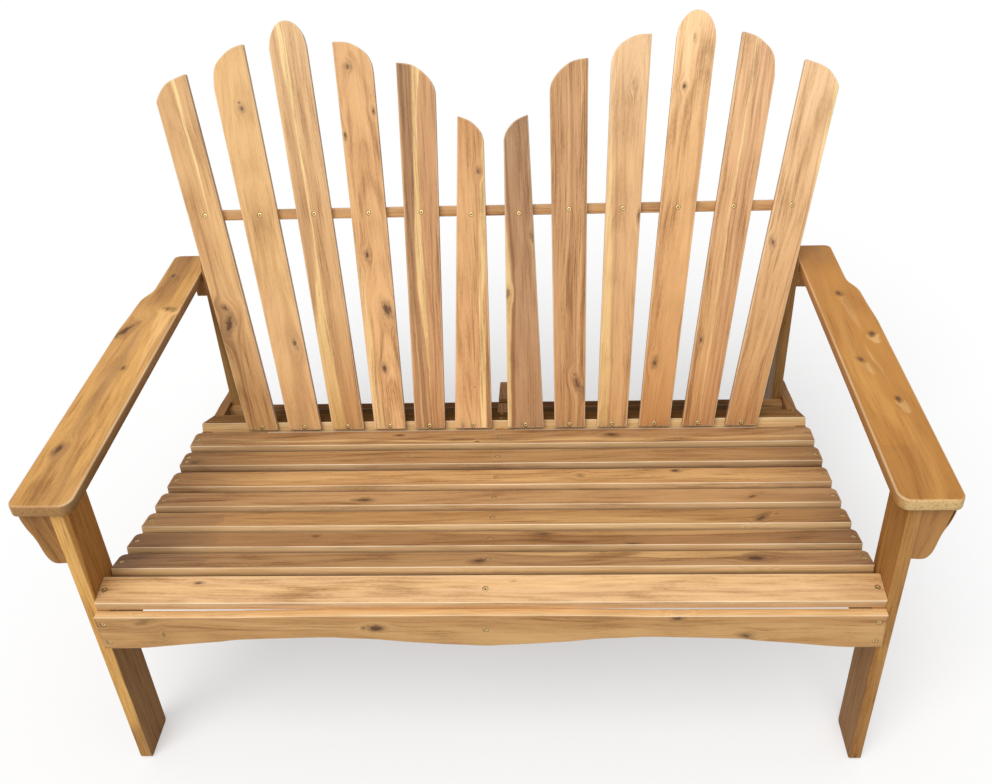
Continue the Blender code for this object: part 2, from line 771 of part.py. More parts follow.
def fasten_frame(legs, stringers, posts):
    """Screws from the inner faces: two through each side stringer into its leg, two through each post."""
    side_stringers = [stringers[name] for name, _ in sides()]
    leg_spots = []
    for y_share, z_share in leg_screw_shares:
        leg_spots.append((leg_width * y_share, nose_height - stringer_front_depth * z_share))
    post_spots = []
    for y_share, z_share in post_screw_shares:
        post_spots.append((post_front_y + post_width * y_share, post_foot_height + post_foot_drop * z_share))
    joints = (
        ("leg_screw", stringer_inner_x, leg_spots, [*side_stringers, *legs.values()]),
        ("post_screw", post_inner_x, post_spots, [*side_stringers, *posts.values()]),
    )
    for name, face_x, spots, boards in joints:
        places = [(Vector((sign * face_x, y, z)), RIGHT * -sign) for _, sign in sides() for y, z in spots]
        screwed(name, short_screw_length, places, boards)


def centre_bench():
    """Moves every piece and cutter so that the origin lies under the middle of the bench's box."""
    for collection in (parts, cutters):
        for item in collection.objects:
            item.location.y -= centre_y


clear_scene()
parts = new_collection("adirondack_loveseat")
cutters = new_collection("holes")
golden = golden_wood()
fan = fan_wood()
brown = seat_wood()
dark = frame_wood()
steel = plated_steel()

seat_stringers = make_stringers()
front_legs = make_legs()
flat_arms = make_arms()
arm_brackets = make_brackets()
arm_cleats = make_cleats()
front_apron = make_apron()
seat_slats = make_seat_slats()
back_slats = make_back_slats()
lower_back_rail = make_lower_rail()
upper_back_rail = make_upper_rail()
rear_stretcher = make_stretcher()
rear_posts = make_posts()

drill_seat(seat_slats, seat_stringers)
drill_back(back_slats, lower_back_rail, upper_back_rail)
fasten_apron(front_apron, seat_stringers)
fasten_rails(lower_back_rail, upper_back_rail, seat_stringers, rear_posts)
fasten_stretcher(rear_stretcher, seat_stringers["centre"])
fasten_frame(front_legs, seat_stringers, rear_posts)
centre_bench()
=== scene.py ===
"""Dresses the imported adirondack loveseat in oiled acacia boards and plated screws, on a pale stage."""

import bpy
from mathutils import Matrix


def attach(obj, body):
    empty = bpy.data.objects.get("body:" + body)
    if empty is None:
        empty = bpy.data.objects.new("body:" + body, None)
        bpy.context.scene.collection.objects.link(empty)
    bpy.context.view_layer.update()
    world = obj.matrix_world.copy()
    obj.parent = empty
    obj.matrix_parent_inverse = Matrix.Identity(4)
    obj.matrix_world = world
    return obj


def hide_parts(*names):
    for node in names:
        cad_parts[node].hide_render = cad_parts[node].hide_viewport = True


bl_info = {
    "name": "Adirondack Loveseat",
    "version": (1, 0, 0),
    "blender": (4, 5, 0),
    "location": "3D View > Sidebar > Loveseat",
    "description": "Makes the boards, the screws and the stage of a slatted wooden bench for two",
    "category": "Object",
}

import math

import bmesh
import bpy
import numpy as np
from bpy.props import FloatProperty, FloatVectorProperty, PointerProperty
from mathutils import Matrix, Vector
from mathutils.geometry import tessellate_polygon

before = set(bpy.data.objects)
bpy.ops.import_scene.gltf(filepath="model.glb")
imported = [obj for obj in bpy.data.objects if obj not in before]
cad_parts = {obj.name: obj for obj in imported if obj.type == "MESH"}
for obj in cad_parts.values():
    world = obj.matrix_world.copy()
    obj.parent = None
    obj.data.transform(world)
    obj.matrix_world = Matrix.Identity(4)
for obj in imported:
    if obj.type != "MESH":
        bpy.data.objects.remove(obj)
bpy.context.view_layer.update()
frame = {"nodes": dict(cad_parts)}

MM = 0.001

# How the CAD boards are read
CAD_CHAMFER = 0.0015
MERGE_DISTANCE = 0.00001
CAP_TOLERANCE = 0.0001
MOUTH_RADII = (0.0035, 0.005)
TOWARDS_VIEWER = (0.1, -0.7, 0.7)

# How their outlines are made finer. A crown's corners turn by an angle between two, in degrees. Sharper ones
# get a share of the edge's radius. A bend takes up at most a share of its shorter side, and edges up to a
# length are curved, but not those beside an edge that is so many times longer.
CROWN_RADIUS = 0.022
CROWN_ANGLES = (30, 50)
CROWN_STEPS = 6
CORNER_SHARE = 1.3
CORNER_STEPS = 4
REACH_SHARE = 0.48
CURVE_STEPS = 3
CURVE_LENGTH = 0.05
STRAIGHT_SHARE = 3

# The rounded edge, ring by ring from the visible face to the back: how pale, rubbed and with a painted
# highlight, and how much of a front it is, which gets painted light and painted shade
EDGE_STEPS = 5
PALE_BAND_WIDTH = 0.0009
WEAR_AND_HIGHLIGHT_SHARES = (0, 0.75, 1, 1, 0.8, 0.3, 0, 0.2, 0.4, 0.2, 0)
BROW_SHARES = (0, 0, 0, 0.3, 1, 1, 1, 1, 1, 0, 0)
LEAST_WEAR_AND_HIGHLIGHT = 0.3

# The sides that are rubbed most and carry the painted highlight, along and across the grain
SEAT_FRONT = (0, -1)
APRON_TOP = (0, 1)
ARM_SIDES = (("left", (-0.44, -0.9)), ("right", (-0.44, 0.9)))

# Slats, screws and screw holes
BACK_SLATS = 12
SEAT_SLATS = 8
HOLE_SIDES = 24
HOLE_MOUTH = 0.0043
HOLE_NECK = 0.0021
HOLE_DEPTH = 0.0026
SLAT_SCREW_LENGTH = 0.012
SCREW_SIDES = 32
HEAD_RING_SHARES = (0.12, 0.2, 0.3, 0.4, 0.5, 0.6, 0.72, 0.86, 0.96)
HEAD_DOME = 0.0003
RIM_DROPS = (0.0001, 0.0004, 0.0023)
RIM_SHARE = 0.97
SHANK_SHARE = 0.45
POINT_SHARE = 0.5
POINT_LENGTH = 0.0015
TIP_LENGTH = 0.0003
CROSS_WALL = 1.5
CROSS_END = 4
ASKEW = (0.29, 0.37, 0.88)
SCREW_TURN = 2.4

# Patterns stretched along the grain: spots a metre along and across, detail and roughness
LONG_WAVE = ((3.2, 9, 9), 1)
SHORT_WAVE = ((28, 75, 75), 1)
CRACKS = ((150, 330, 330), 3, 0.7)
FIBRES = ((9, 480, 480), 2, 0.6)
PORES = ((110, 760, 760), 1, 0.5)
MOTTLE = ((7, 30, 30), 3)

# Patterns that aren't stretched: spots a metre, detail and roughness
BROAD_RINGS = {"Scale": 110, "Detail": 2, "Roughness": 0.6}
FINE_RINGS = {"Scale": 420, "Detail": 1}
END_TUBES = {"Scale": 260, "Detail": 5, "Roughness": 0.65}
PLATING_CLOUD = {"Scale": 900, "Detail": 2}

# How far the lines wander, and how each board's figure is moved away from the others'
WANDER = 0.022
JITTER = 0.003
RING_STRETCH = 0.03
SEED_STEPS = (0.37, 0.71, 0.53)
FIGURE_STEPS = (0.31, 0.17)

# How the layers of the figure are weighed, and where on their sum the wood has its middle tone
FINE_WEIGHT = 0.8
FIBRE_WEIGHT = 0.75
MOTTLE_WEIGHT = 0.5
PORE_WEIGHT = 0.4
MIDDLE_TONE = 1.725
TONE_SPREAD = 0.4

# Knots: how ragged they are, where their rim lies, and how much smaller a faint one is
CRACK_WEIGHT = 0.9
KNOT_RAGGED = 1.5
KNOT_RIM = 1.38
KNOT_FAINT = 0.5

# How much of the layers on top shows. Streaks and the pale edges, rubbed and with a painted highlight, vary
# between this share of their strength and the whole of it, and the painted shade with some dirt low on the
# faces is the knots' colour at this share of its lightness.
STREAK_SHARE = 0.7
WEAR_AND_HIGHLIGHT_SHARE = 0.5
END_SHARE = 0.85
# The painted shade in the screw holes is the knots' colour at this share
HOLE_SHADE_SHARE = 0.6
SHADE_AND_DIRT_SHARE = 0.6

# Ranges: from 1 to 2 of what goes in, and from 3 to 4 of what comes out
KNOT_PULL = {1: 0.4, 2: 3.0, 3: 0.9, 4: 0.0}
KNOT_COVER = {1: 0.6, 2: 1.7, 3: 0.95, 4: 0.0}
STREAK_FIBRES = {1: 0.2, 2: 0.8}
WEAR_AND_HIGHLIGHT_PATCHES = {1: 0.35, 2: 0.65}
OIL_ROUGHNESS = {1: 0.3, 2: 0.7, 3: 0.56, 4: 0.42}
PLATING_ROUGHNESS = {1: 0.3, 2: 0.7, 3: 0.45, 4: 0.28}
PLATING_SHINE = {3: 1.0, 4: 0.3}
OIL_IOR = 1.46
FIBRE_RELIEF = {"Strength": 0.35, "Distance": 0.0004}

# Tones: places on a ramp, and what the wood's own colour is multiplied by there
RING_TONES = ((0, (0.52, 0.45, 0.38)), (0.28, (0.82, 0.77, 0.72)), (0.52, 1), (1, (1.17, 1.21, 1.26)))
KNOT_CORE_TONES = ((0, 0.9), (0.4, 1.4))
KNOT_RING_TONES = ((0.6, 0.48), (0.72, 0.68), (0.82, 0.46), (1, 0.72))
BROW_TONES = ((0.3, (0.7, 0.64, 0.56)), (0.6, 1))
TUBE_TONES = ((0.33, (0.62, 0.54, 0.46)), (0.47, 0.95), (0.7, 1.15))
PLATING_TONES = ((0.35, (0.7, 0.62, 0.5)), (0.65, 1.15))

# Half the length and half the width that the rows of the figures below are drawn in
REACH = 0.6
SPREAD = 0.06

# The stage, and the camera as the photograph was taken: turns in degrees, place, and lens in pixels
FLOOR_REACH = 12
SKY_HEIGHT = 0.9
LAMP_ANGLE = 50
LAMP_DIRECTION = (0.28, 0.75, -1)
IMAGE_WIDTH = 992
IMAGE_HEIGHT = 784
CAMERA_YAW_PITCH_ROLL = (-2.810, 34.428, -2.297)
CAMERA_PLACE = (0.1087, -1.48955, 1.5179)
FOCAL_PIXELS = 1038.3
LENS_MIDDLE = (513.9, 373.4)

# A board's own figure. Lengths are in millimetres from the board's middle: u runs along the grain, v across.
# heart and shade: the wood's colour, and what it is multiplied by. On the posts, the lower back rail and the
# stretcher a low shade is painted shade.
# painted_shade_along and warmth: painted shade lengthwise, as rows of u and how light the wood is there,
# darker where other parts shade it, and how much more green and blue darken than red in that painted shade.
# pith: how far off the log's middle lies, across and below. taper: how fast the rings run out lengthwise.
# wander and contrast: how wavy and how strong the figure is. wear_and_highlight: how pale the edges are,
# rubbed and lit by a painted highlight.
# brow and crevice: how pale the front or top edge is painted, as painted light, and how dark low down, as
# painted shade with some dirt, from and to which height.
# cut and end: the colour and lightness of the end grain. sheen: how strongly the oil shines.
# streaks: colour, strength, softness, and rows of u with the streak's two edges there.
# knots: u, v, half length, half width, turn in degrees and depth, from 0 for a shadow to 1 for a dark heart.
LOOK = {
    "heart": "fan", "shade": 1, "warmth": (1, 1.2, 1.55), "painted_shade_along": ((-500, 1), (500, 1)),
    "pith": (70, 55), "taper": 0.02, "wander": 1, "contrast": 1, "wear_and_highlight": 0.45, "brow": 0,
    "crevice": (0, -8, 1), "cut": "seat", "end": 0.85, "sheen": 0.3, "streaks": (), "knots": (),
}
FAMILY_LOOKS = {
    "back_slat": {"warmth": (1, 1.5, 2.2)},
    # The seat slats' crevice is painted shade, with some dirt, low on their front faces above the gaps.
    "seat_slat": {"heart": "seat", "wear_and_highlight": 0.85, "crevice": (0.8, -8, 1), "sheen": 0.25},
    "arm": {"heart": "golden", "sheen": 0.2},
    "front_leg": {"heart": "golden", "wear_and_highlight": 0.2, "sheen": 0.08},
    "arm_bracket": {"heart": "golden", "pith": (30, 50), "wear_and_highlight": 0.15},
    "seat_stringer": {"heart": "frame", "wear_and_highlight": 0.2, "sheen": 0.1},
    # The posts' low shade is painted shade on their inner faces.
    "rear_post": {"heart": "golden", "shade": 0.6, "wear_and_highlight": 0.15, "sheen": 0.1},
    "rear_arm_cleat": {"heart": "frame", "shade": 0.7, "wear_and_highlight": 0.1, "sheen": 0.1},
}
LOOKS = {
    "back_slat_1": {
        "shade": (0.95, 0.97, 0.91), "pith": (20, 60),
        "painted_shade_along": ((-340, 0.8), (-200, 0.95), (150, 1), (330, 1.04)),
        "streaks": (
            ("sap", 0.95, 1.2, (-600, -9, -8), (50, -8, -7.5), (120, -9, -5.5), (220, -9.5, -4),
             (345, -8, 0)),
            ("light", 0.8, 2.5, (-345, 24, 32), (-200, 22, 36), (-60, 27, 36), (20, 36, 37)),
            ("light", 0.6, 4, (-160, -30, -29), (-80, -34, -14), (60, -34, -13), (130, -26, -20),
             (200, -24, -23)),
            ("dark", 0.6, 2, (-345, 10, 14), (-240, 9, 14), (-150, 7, 16), (-60, 11, 17), (60, 15, 18),
             (180, 18, 19)),
            ("dark", 0.45, 2, (-345, 4, 5), (-220, 2, 6), (-120, -8, -2), (-90, -10, -9)),
        ),
        "knots": ((-122, 4, 24, 12, -24, 1), (-90, 8, 14, 9, 40, 0.6)),
    },
    "back_slat_2": {
        "shade": (1.12, 1.19, 1.2), "pith": (-5, 70), "wander": 1.6, "contrast": 0.68,
        "painted_shade_along": ((-360, 0.86), (-200, 0.96), (150, 1), (340, 0.98)),
        "streaks": (
            ("light", 0.85, 7, (-170, -36, -34), (-110, -36, -10), (-40, -34, 22), (90, -34, 34),
             (360, -36, 34)),
            ("dark", 0.3, 6, (-364, -20, 4), (-240, -30, -10), (-150, -26, -12), (-100, -20, -14)),
        ),
        "knots": ((253, -6, 9, 7, 10, 0.75), (264, -3, 5, 4, 40, 0.6), (-190, -20, 22, 7, 12, 0.35)),
    },
    "back_slat_3": {
        "shade": (1, 1.05, 1.05), "pith": (90, 40), "taper": 0.01, "wander": 0.6,
        "painted_shade_along": ((-380, 0.67), (-200, 0.89), (150, 1.04), (360, 1.09)),
        "streaks": (
            ("sap", 0.97, 1, (-385, 9, 33), (-170, 9.5, 31), (-120, 9.5, 24), (-60, 9, 14), (0, 8.5, 11.5),
             (120, 6.5, 10), (240, 4.5, 10.5), (310, 3, 15), (385, 4, 15)),
            ("dark", 0.35, 3, (-200, 33, 34), (-90, 20, 32), (60, 13, 30), (240, 12, 22), (330, 18, 24)),
            ("dark", 0.25, 3, (-385, -8, 6), (-200, -6, 5), (0, -8, 2), (300, -12, -4)),
        ),
    },
    "back_slat_4": {
        "shade": (1.03, 1.01, 0.95), "pith": (-5, 35), "taper": 0.05, "wander": 1.3,
        "painted_shade_along": ((-360, 1.06), (-200, 1.04), (150, 1), (340, 1.06)),
        "streaks": (
            ("sap", 0.6, 3, (-364, 22, 36), (-240, 24, 38), (-120, 27, 36), (-20, 33, 36)),
            ("dark", 0.5, 1.6, (-364, -24, -16), (-200, -30, -26), (-60, -37, -33), (100, -40, -38)),
            ("dark", 0.3, 2, (-20, -23, -20), (120, -26, -22), (300, -27, -21), (360, -20, -18)),
        ),
        "knots": (
            (-242, 6, 11, 6, 0, 0.85), (-130, -10, 22, 12, 18, 0.75), (-25, 12, 12, 8, 0, 0.7),
            (198, 25, 13, 4, 0, 0.6), (319, 4, 9, 8, 0, 0.85), (235, -33, 12, 5, 0, 0.5),
        ),
    },
    "back_slat_5": {
        "shade": (0.87, 0.83, 0.84), "pith": (100, 50), "taper": 0.01, "wander": 0.5,
        "painted_shade_along": ((-340, 0.82), (-200, 0.95), (150, 0.96), (330, 0.99)),
        "streaks": (
            ("grey", 0.75, 2, (-343, 14, 24), (-160, 18, 26), (-40, 19, 27), (60, 14, 28), (343, 5, 30)),
            ("grey", 0.5, 1.2, (-343, 28, 34), (-100, 28, 33), (60, 26, 30), (343, 20, 24)),
            ("sap", 0.97, 1.2, (-600, 8, 8.2), (-290, 7.5, 8.5), (-180, 6, 11.5), (-60, 4, 17.5),
             (20, 3.5, 16), (100, 3, 12.5), (200, 1, 9), (280, -4, 6), (343, -14, 3)),
            ("dark", 0.45, 1.5, (-140, -9, -6), (-60, -12, -9), (20, -16, -13), (120, -19, -18)),
            ("sap", 0.4, 1.5, (-343, 24, 27), (-200, 26, 28), (-60, 27.5, 28)),
        ),
    },
    "back_slat_6": {
        "shade": (1.01, 0.98, 0.93), "pith": (40, 70),
        "painted_shade_along": ((-290, 1), (-200, 1), (150, 1), (280, 0.88)),
        "streaks": (
            ("sap", 0.9, 1.6, (-295, -25, -17), (-160, -29, -17), (-40, -31, -19), (60, -33, -21),
             (160, -35, -25), (240, -38, -33)),
            ("dark", 0.7, 1.5, (-295, -36, -27), (-200, -36, -28), (-140, -35, -31), (-60, -36, -35)),
        ),
        "knots": ((192, -25, 10, 7, 0, 0.85), (-288, 20, 16, 8, 0, 0.45), (-212, -5, 3, 2, 0, 0.5)),
    },
    "back_slat_7": {
        "shade": (0.68, 0.67, 0.73), "pith": (30, 45), "taper": 0.03,
        "painted_shade_along": ((-290, 0.87), (-200, 0.92), (150, 1), (280, 1.12)),
        "streaks": (
            ("sap", 0.85, 2, (-295, 25, 40), (-120, 24, 40), (-20, 27, 40), (60, 33, 40), (110, 39, 40)),
            ("dark", 0.75, 1.5, (-295, 17, 24), (-100, 16, 23), (0, 19, 25), (90, 25, 31), (170, 31, 36),
             (290, 34, 38)),
            ("grey", 0.4, 3, (20, 20, 25), (100, 12, 32), (180, 8, 36), (295, 4, 36)),
            ("grey", 0.4, 2.5, (-60, -20, -18), (60, -18, -9), (160, -10, 2), (295, -8, 4)),
            ("light", 0.5, 2, (-220, -34, -31), (-60, -26, -21), (40, -18, -14), (90, -14, -13)),
        ),
        "knots": ((-33, 30, 12, 6, 0, 0.6), (72, -16, 15, 6, 8, 0.6)),
    },
    "back_slat_8": {
        "shade": (0.82, 0.79, 0.78), "pith": (110, 40), "taper": 0.01, "wander": 0.5, "contrast": 1.15,
        "painted_shade_along": ((-340, 0.81), (-200, 0.93), (150, 1), (330, 1.02)),
        "streaks": (
            ("dark", 0.5, 1.5, (-343, -30, -27), (-120, -31, -27), (100, -30, -26), (343, -28, -24)),
            ("dark", 0.4, 2, (-343, -12, -5), (-60, -9, -3), (160, -4, 2), (343, 2, 8)),
            ("light", 0.5, 1.5, (-343, -24, -19), (-60, -24, -20), (160, -22, -17), (343, -20, -14)),
            ("light", 0.35, 3, (-343, 0, 6), (-60, 2, 9), (160, 4, 8), (343, 10, 12)),
        ),
        "knots": ((-260, -26, 20, 9, 25, 0.75), (-238, -18, 6, 4, 0, 0.4)),
    },
    "back_slat_9": {
        "shade": (1, 1.04, 1.07), "pith": (10, 60), "taper": 0.03,
        "painted_shade_along": ((-360, 0.78), (-200, 0.92), (150, 1.02), (340, 1.2)),
        "streaks": (
            ("sap", 0.85, 2, (-364, 3, 20), (-220, 7, 24), (-100, 14, 28), (0, 20, 32), (90, 27, 34),
             (200, 34, 36)),
            ("dark", 0.3, 2, (-364, -1, 2), (-100, 6, 10), (40, 13, 17), (200, 24, 28), (300, 32, 34)),
            ("dark", 0.25, 2, (60, -2, 0), (180, 8, 12), (280, 18, 21)),
        ),
        "knots": ((42, -31, 15, 5, 0, 0.6), (275, -3, 14, 6, 0, 0.2)),
    },
    "back_slat_10": {
        "shade": (1.06, 1.05, 0.99), "pith": (-20, 70), "wander": 1.5,
        "painted_shade_along": ((-380, 0.64), (-200, 0.86), (150, 1.06), (360, 1.33)),
        "streaks": (
            ("dark", 0.35, 3, (-20, -26, -22), (80, -28, -20), (180, -26, -19), (260, -24, -22)),
            ("dark", 0.5, 2, (-260, -34, -33), (-200, -34, -29), (-140, -34, -31), (-100, -36, -35)),
        ),
        "knots": ((250, 12, 8, 6, 0, 0.95), (-258, 10, 15, 8, 0, 0.75), (335, 4, 14, 5, 0, 0.2)),
    },
    "back_slat_11": {
        "shade": (0.99, 0.98, 1.03), "pith": (120, 45), "taper": 0.01, "wander": 0.5, "contrast": 1.1,
        "painted_shade_along": ((-360, 0.66), (-200, 0.87), (150, 1.02), (340, 1.14)),
        "streaks": (
            ("sap", 0.8, 1.2, (-364, 8, 11), (-200, 8.5, 12), (0, 6, 9.5), (120, 6, 10), (240, 3.5, 8),
             (364, 0, 5)),
            ("dark", 0.35, 2, (-364, -10, -6), (-100, -14, -9), (100, -14, -8), (364, -22, -16)),
            ("dark", 0.3, 1.5, (-364, 0, 2), (-100, -3, 0), (100, -4, 0), (364, -12, -8)),
            ("light", 0.4, 5, (-364, 14, 36), (-160, 14, 36), (60, 22, 30), (364, 24, 30)),
        ),
        "knots": ((-195, 26, 10, 5, 0, 0.3),),
    },
    "back_slat_12": {
        "shade": (1.07, 1.14, 1.21), "pith": (-30, 60),
        "painted_shade_along": ((-340, 0.61), (-200, 0.84), (150, 1.06), (330, 1.15)),
        "streaks": (
            ("sap", 0.85, 1.5, (-343, -26, -25), (-200, -31, -26), (0, -36, -28), (343, -38, -29)),
            ("dark", 0.45, 1.2, (-200, -16, -14), (-60, -20, -17), (100, -24, -21), (220, -26, -25)),
            ("dark", 0.3, 3, (-343, 30, 34), (-200, 27, 34), (-140, 30, 34), (-80, 35, 36)),
        ),
        "knots": ((14, 22, 10, 6, 15, 0.9),),
    },
    "seat_slat_1": {
        "heart": "fan", "shade": (1.11, 1.21, 1.32), "pith": (-30, 60), "taper": 0.012, "contrast": 0.98,
        "crevice": (0, -8, 1), "sheen": 0.3,
        "painted_shade_along": ((-585, 0.75), (-480, 0.93), (470, 0.94), (585, 0.77)),
        "streaks": (
            ("dark", 0.3, 1.2, (-60, -4, -3), (120, -7, -4), (340, -8, -4), (585, -9, -5)),
            ("dark", 0.22, 1.2, (-585, -11, -9), (-200, -12, -9), (100, -13, -11)),
            ("light", 0.5, 4, (-585, 0, 20), (-300, -4, 10), (-100, 4, 16), (200, 8, 20)),
        ),
        "knots": ((-435, 12, 10, 3.5, 0, 0.45), (42, 13, 8, 3, 0, 0.3)),
    },
    "seat_slat_2": {
        "shade": (0.88, 0.92, 1.04), "pith": (20, 60), "contrast": 1.25, "brow": 0.75,
        "painted_shade_along": ((-585, 0.58), (-430, 0.84), (430, 0.87), (585, 0.72)),
        "streaks": (
            ("light", 0.9, 2, (60, 20, 24), (150, 14, 24), (220, 7, 24), (300, 3, 24), (385, 3, 24),
             (420, 14, 24), (470, 17, 24)),
            ("dark", 0.55, 1.2, (-120, 14, 17), (20, 14, 17), (120, 9, 12), (240, 3, 5), (380, -2, 0),
             (560, 8, 11)),
            # Painted shadow of the left arm and leg over the left end
            ("grey", 0.4, 8, (-585, -24, 24), (-500, -24, 24), (-440, -2, 0)),
        ),
        "knots": ((-13, -5, 17, 9, 10, 0.95), (413, 0, 20, 11, 0, 0.95)),
    },
    "seat_slat_3": {
        "shade": (0.77, 0.75, 0.78), "pith": (10, 50), "contrast": 1.25, "brow": 0.4,
        "painted_shade_along": ((-585, 0.61), (-430, 0.83), (430, 0.84), (585, 0.61)),
        "streaks": (
            ("light", 0.45, 2, (-160, 21, 24), (0, 14, 24), (200, 12, 24), (400, 12, 24), (585, 18, 24)),
            ("dark", 0.75, 1, (-120, 20, 22), (-20, 13, 16), (100, 10, 13), (300, 8, 11), (585, 13, 16)),
            # Painted shadow of the left arm and leg over the left end
            ("grey", 0.4, 8, (-585, -24, 24), (-500, -24, 24), (-440, -2, 0)),
        ),
        "knots": ((-284, 9, 9, 5, 0, 0.8), (82, 12, 14, 4, 0, 0.6), (225, -18, 16, 4.5, 0, 0.9)),
    },
    "seat_slat_4": {
        "shade": (0.94, 0.95, 0.95), "pith": (40, 60), "contrast": 1.04, "brow": 0.75,
        "painted_shade_along": ((-585, 0.98), (-430, 0.94), (430, 0.84), (585, 0.6)),
        "streaks": (
            ("light", 0.45, 3, (-300, -22, -18), (-100, -20, -10), (100, -18, 4), (360, -20, -12)),
            ("dark", 0.4, 1.5, (-260, -19, -16), (-60, -16, -14), (200, -21, -20)),
            # Painted shadow of the left arm and leg over the left end
            ("grey", 0.45, 8, (-585, -24, 24), (-510, -24, 24), (-450, -2, 0)),
        ),
        "knots": ((445, -4, 19, 8, 42, 0.85), (470, 6, 9, 3, 30, 0.7)),
    },
    "seat_slat_5": {
        "shade": (0.97, 1.02, 1.15), "pith": (20, 55), "contrast": 1.1, "brow": 0.2,
        "painted_shade_along": ((-585, 0.77), (-430, 0.91), (430, 0.91), (585, 0.76)),
        "streaks": (
            ("dark", 0.35, 2, (-585, 10, 14), (-400, 9, 13), (-200, 14, 18), (0, 20, 22)),
            ("dark", 0.35, 5, (400, -10, 0), (450, -14, 6), (585, -16, 8)),
        ),
        "knots": ((-226, -5, 20, 8, 0, 0.95), (440, -2, 14, 5, 30, 0.4)),
    },
    "seat_slat_6": {
        "shade": (1.17, 1.24, 1.35), "pith": (60, 60), "contrast": 1.1,
        "painted_shade_along": ((-585, 0.56), (-430, 0.88), (430, 0.89), (585, 0.72)),
        "streaks": (
            ("light", 0.45, 3, (-585, -2, 4), (-300, -4, 8), (0, -10, 2), (300, -12, 8), (585, -10, 4)),
            ("dark", 0.4, 1.2, (-585, -19, -16), (-200, -19, -16), (150, -19, -16), (400, -20, -18)),
        ),
        "knots": ((318, 17, 10, 6, 0, 0.9), (150, 2, 9, 10, 80, 0.1)),
    },
    "seat_slat_7": {
        "shade": (0.84, 0.87, 0.94), "pith": (80, 60), "contrast": 1.04,
        "painted_shade_along": ((-585, 0.66), (-430, 0.89), (430, 0.9), (585, 0.74)),
        "streaks": (
            ("dark", 0.35, 1.5, (-585, 12, 16), (-200, 13, 17), (200, 16, 20), (585, 18, 20)),
            ("dark", 0.35, 1.5, (-585, -6, -4), (-200, -10, -8), (300, -14, -12), (585, -14, -12)),
        ),
        "knots": ((-560, -12, 16, 9, 0, 0.35), (-165, 3, 6, 3, 0, 0.25)),
    },
    "seat_slat_8": {
        "shade": (0.8, 0.82, 0.9), "pith": (30, 60), "contrast": 1.25, "brow": 0.55,
        "painted_shade_along": ((-585, 0.95), (-430, 0.93), (430, 0.91), (585, 0.88)),
        "streaks": (
            ("sap", 0.55, 2.5, (-520, 2, 3), (-420, -9, -3), (-260, -11, -5), (-100, -13, -9),
             (40, -12, -10)),
            ("light", 0.5, 3, (0, -10, -8), (160, -12, -3), (400, -10, -2), (585, -8, -2)),
            ("dark", 0.4, 2, (-585, 18, 24), (-200, 18, 24), (200, 19, 24), (585, 20, 24)),
        ),
        "knots": ((213, 4, 15, 7, 0, 0.95), (-190, 8, 10, 4, 0, 0.6), (-40, -15, 5, 3, 0, 0.7)),
    },
    "front_apron": {
        "heart": "seat", "shade": (1.06, 1.09, 1.07), "pith": (-10, 55), "wander": 1.3, "contrast": 0.9,
        "wear_and_highlight": 0.75, "brow": 0.8,
        "streaks": (
            ("dark", 0.5, 2, (-585, 16, 20), (-420, 9, 12), (-300, 6, 9), (-230, 7, 8)),
            ("dark", 0.35, 2, (-585, 4, 6), (-460, 2, 5), (-300, 14, 16), (-200, 16, 17)),
            ("light", 0.4, 5, (-260, 6, 24), (-100, -10, 20), (60, -26, 6), (300, -16, 14), (585, -20, 10)),
        ),
        "knots": (
            (-165, 8, 14, 8, 0, 0.95), (-183, 8, 5, 5, 0, 0.6), (-512, 24, 17, 7, 20, 0.6),
            (-488, -4, 3, 9, 0, 0.5), (385, -10, 15, 8, -20, 0.7), (283, 27, 14, 7, 10, 0.4),
        ),
    },
    "arm_left": {
        "shade": (1, 1.01, 1.04), "pith": (10, 60), "wander": 1.2, "contrast": 0.85, "wear_and_highlight": 0.5,
        # The left arm's crevice is painted shade on its inner side below the top edge.
        "crevice": (0.62, 7, 10), "end": 0.8,
        "painted_shade_along": ((-368, 0.98), (-100, 1), (150, 0.97), (190, 0.84), (368, 0.8)),
        "streaks": (
            ("amber", 0.55, 5, (-300, -30, -28), (-220, -34, -10), (-100, -30, -6), (60, -30, -4),
             (150, -34, -6)),
            ("light", 0.5, 3, (-40, -30, -29), (60, -32, -18), (140, -36, -6), (158, -34, -8),
             (168, -28, -26)),
            ("amber", 0.4, 5, (-368, 0, 30), (-300, 20, 38), (-160, 16, 34), (-60, 28, 38)),
            ("grey", 0.45, 4, (-200, 8, 10), (-120, 4, 14), (-20, 4, 17), (60, 8, 16), (110, 14, 16)),
            ("grey", 0.4, 3, (-368, -26, -24), (-300, -20, -17), (-180, -22, -20)),
            ("dark", 0.4, 4, (-300, 12, 13), (-262, 6, 18), (-240, 8, 20), (-225, 14, 18)),
            ("dark", 0.4, 3, (60, 31, 32), (80, 26, 38), (110, 30, 44), (140, 42, 44)),
            ("dark", 0.35, 3, (180, 14, 18), (240, 8, 24), (368, 0, 34)),
        ),
        "knots": (
            (94, 35, 32, 8, -27, 1), (-238, 16, 16, 8, -12, 1), (-24, -2, 8, 5, 12, 1),
            (287, 13, 10, 4, 0, 0.9), (164, -20, 10, 15, -14, 0.75),
        ),
    },
    "arm_right": {
        "shade": (0.82, 0.71, 0.51), "pith": (-20, 70), "wander": 1.3, "contrast": 0.5, "wear_and_highlight": 0.4,
        "cut": "sap", "end": 0.92,
        "painted_shade_along": ((-368, 0.97), (-100, 1), (240, 1), (300, 0.88), (368, 0.85)),
        "streaks": (
            ("light", 0.3, 4, (60, -12, -11), (110, -14, -4), (170, -12, -2), (178, -8, -7)),
            ("sap", 0.4, 4, (16, -33, -32), (30, -35, -20), (40, -34, -19), (50, -36, -33)),
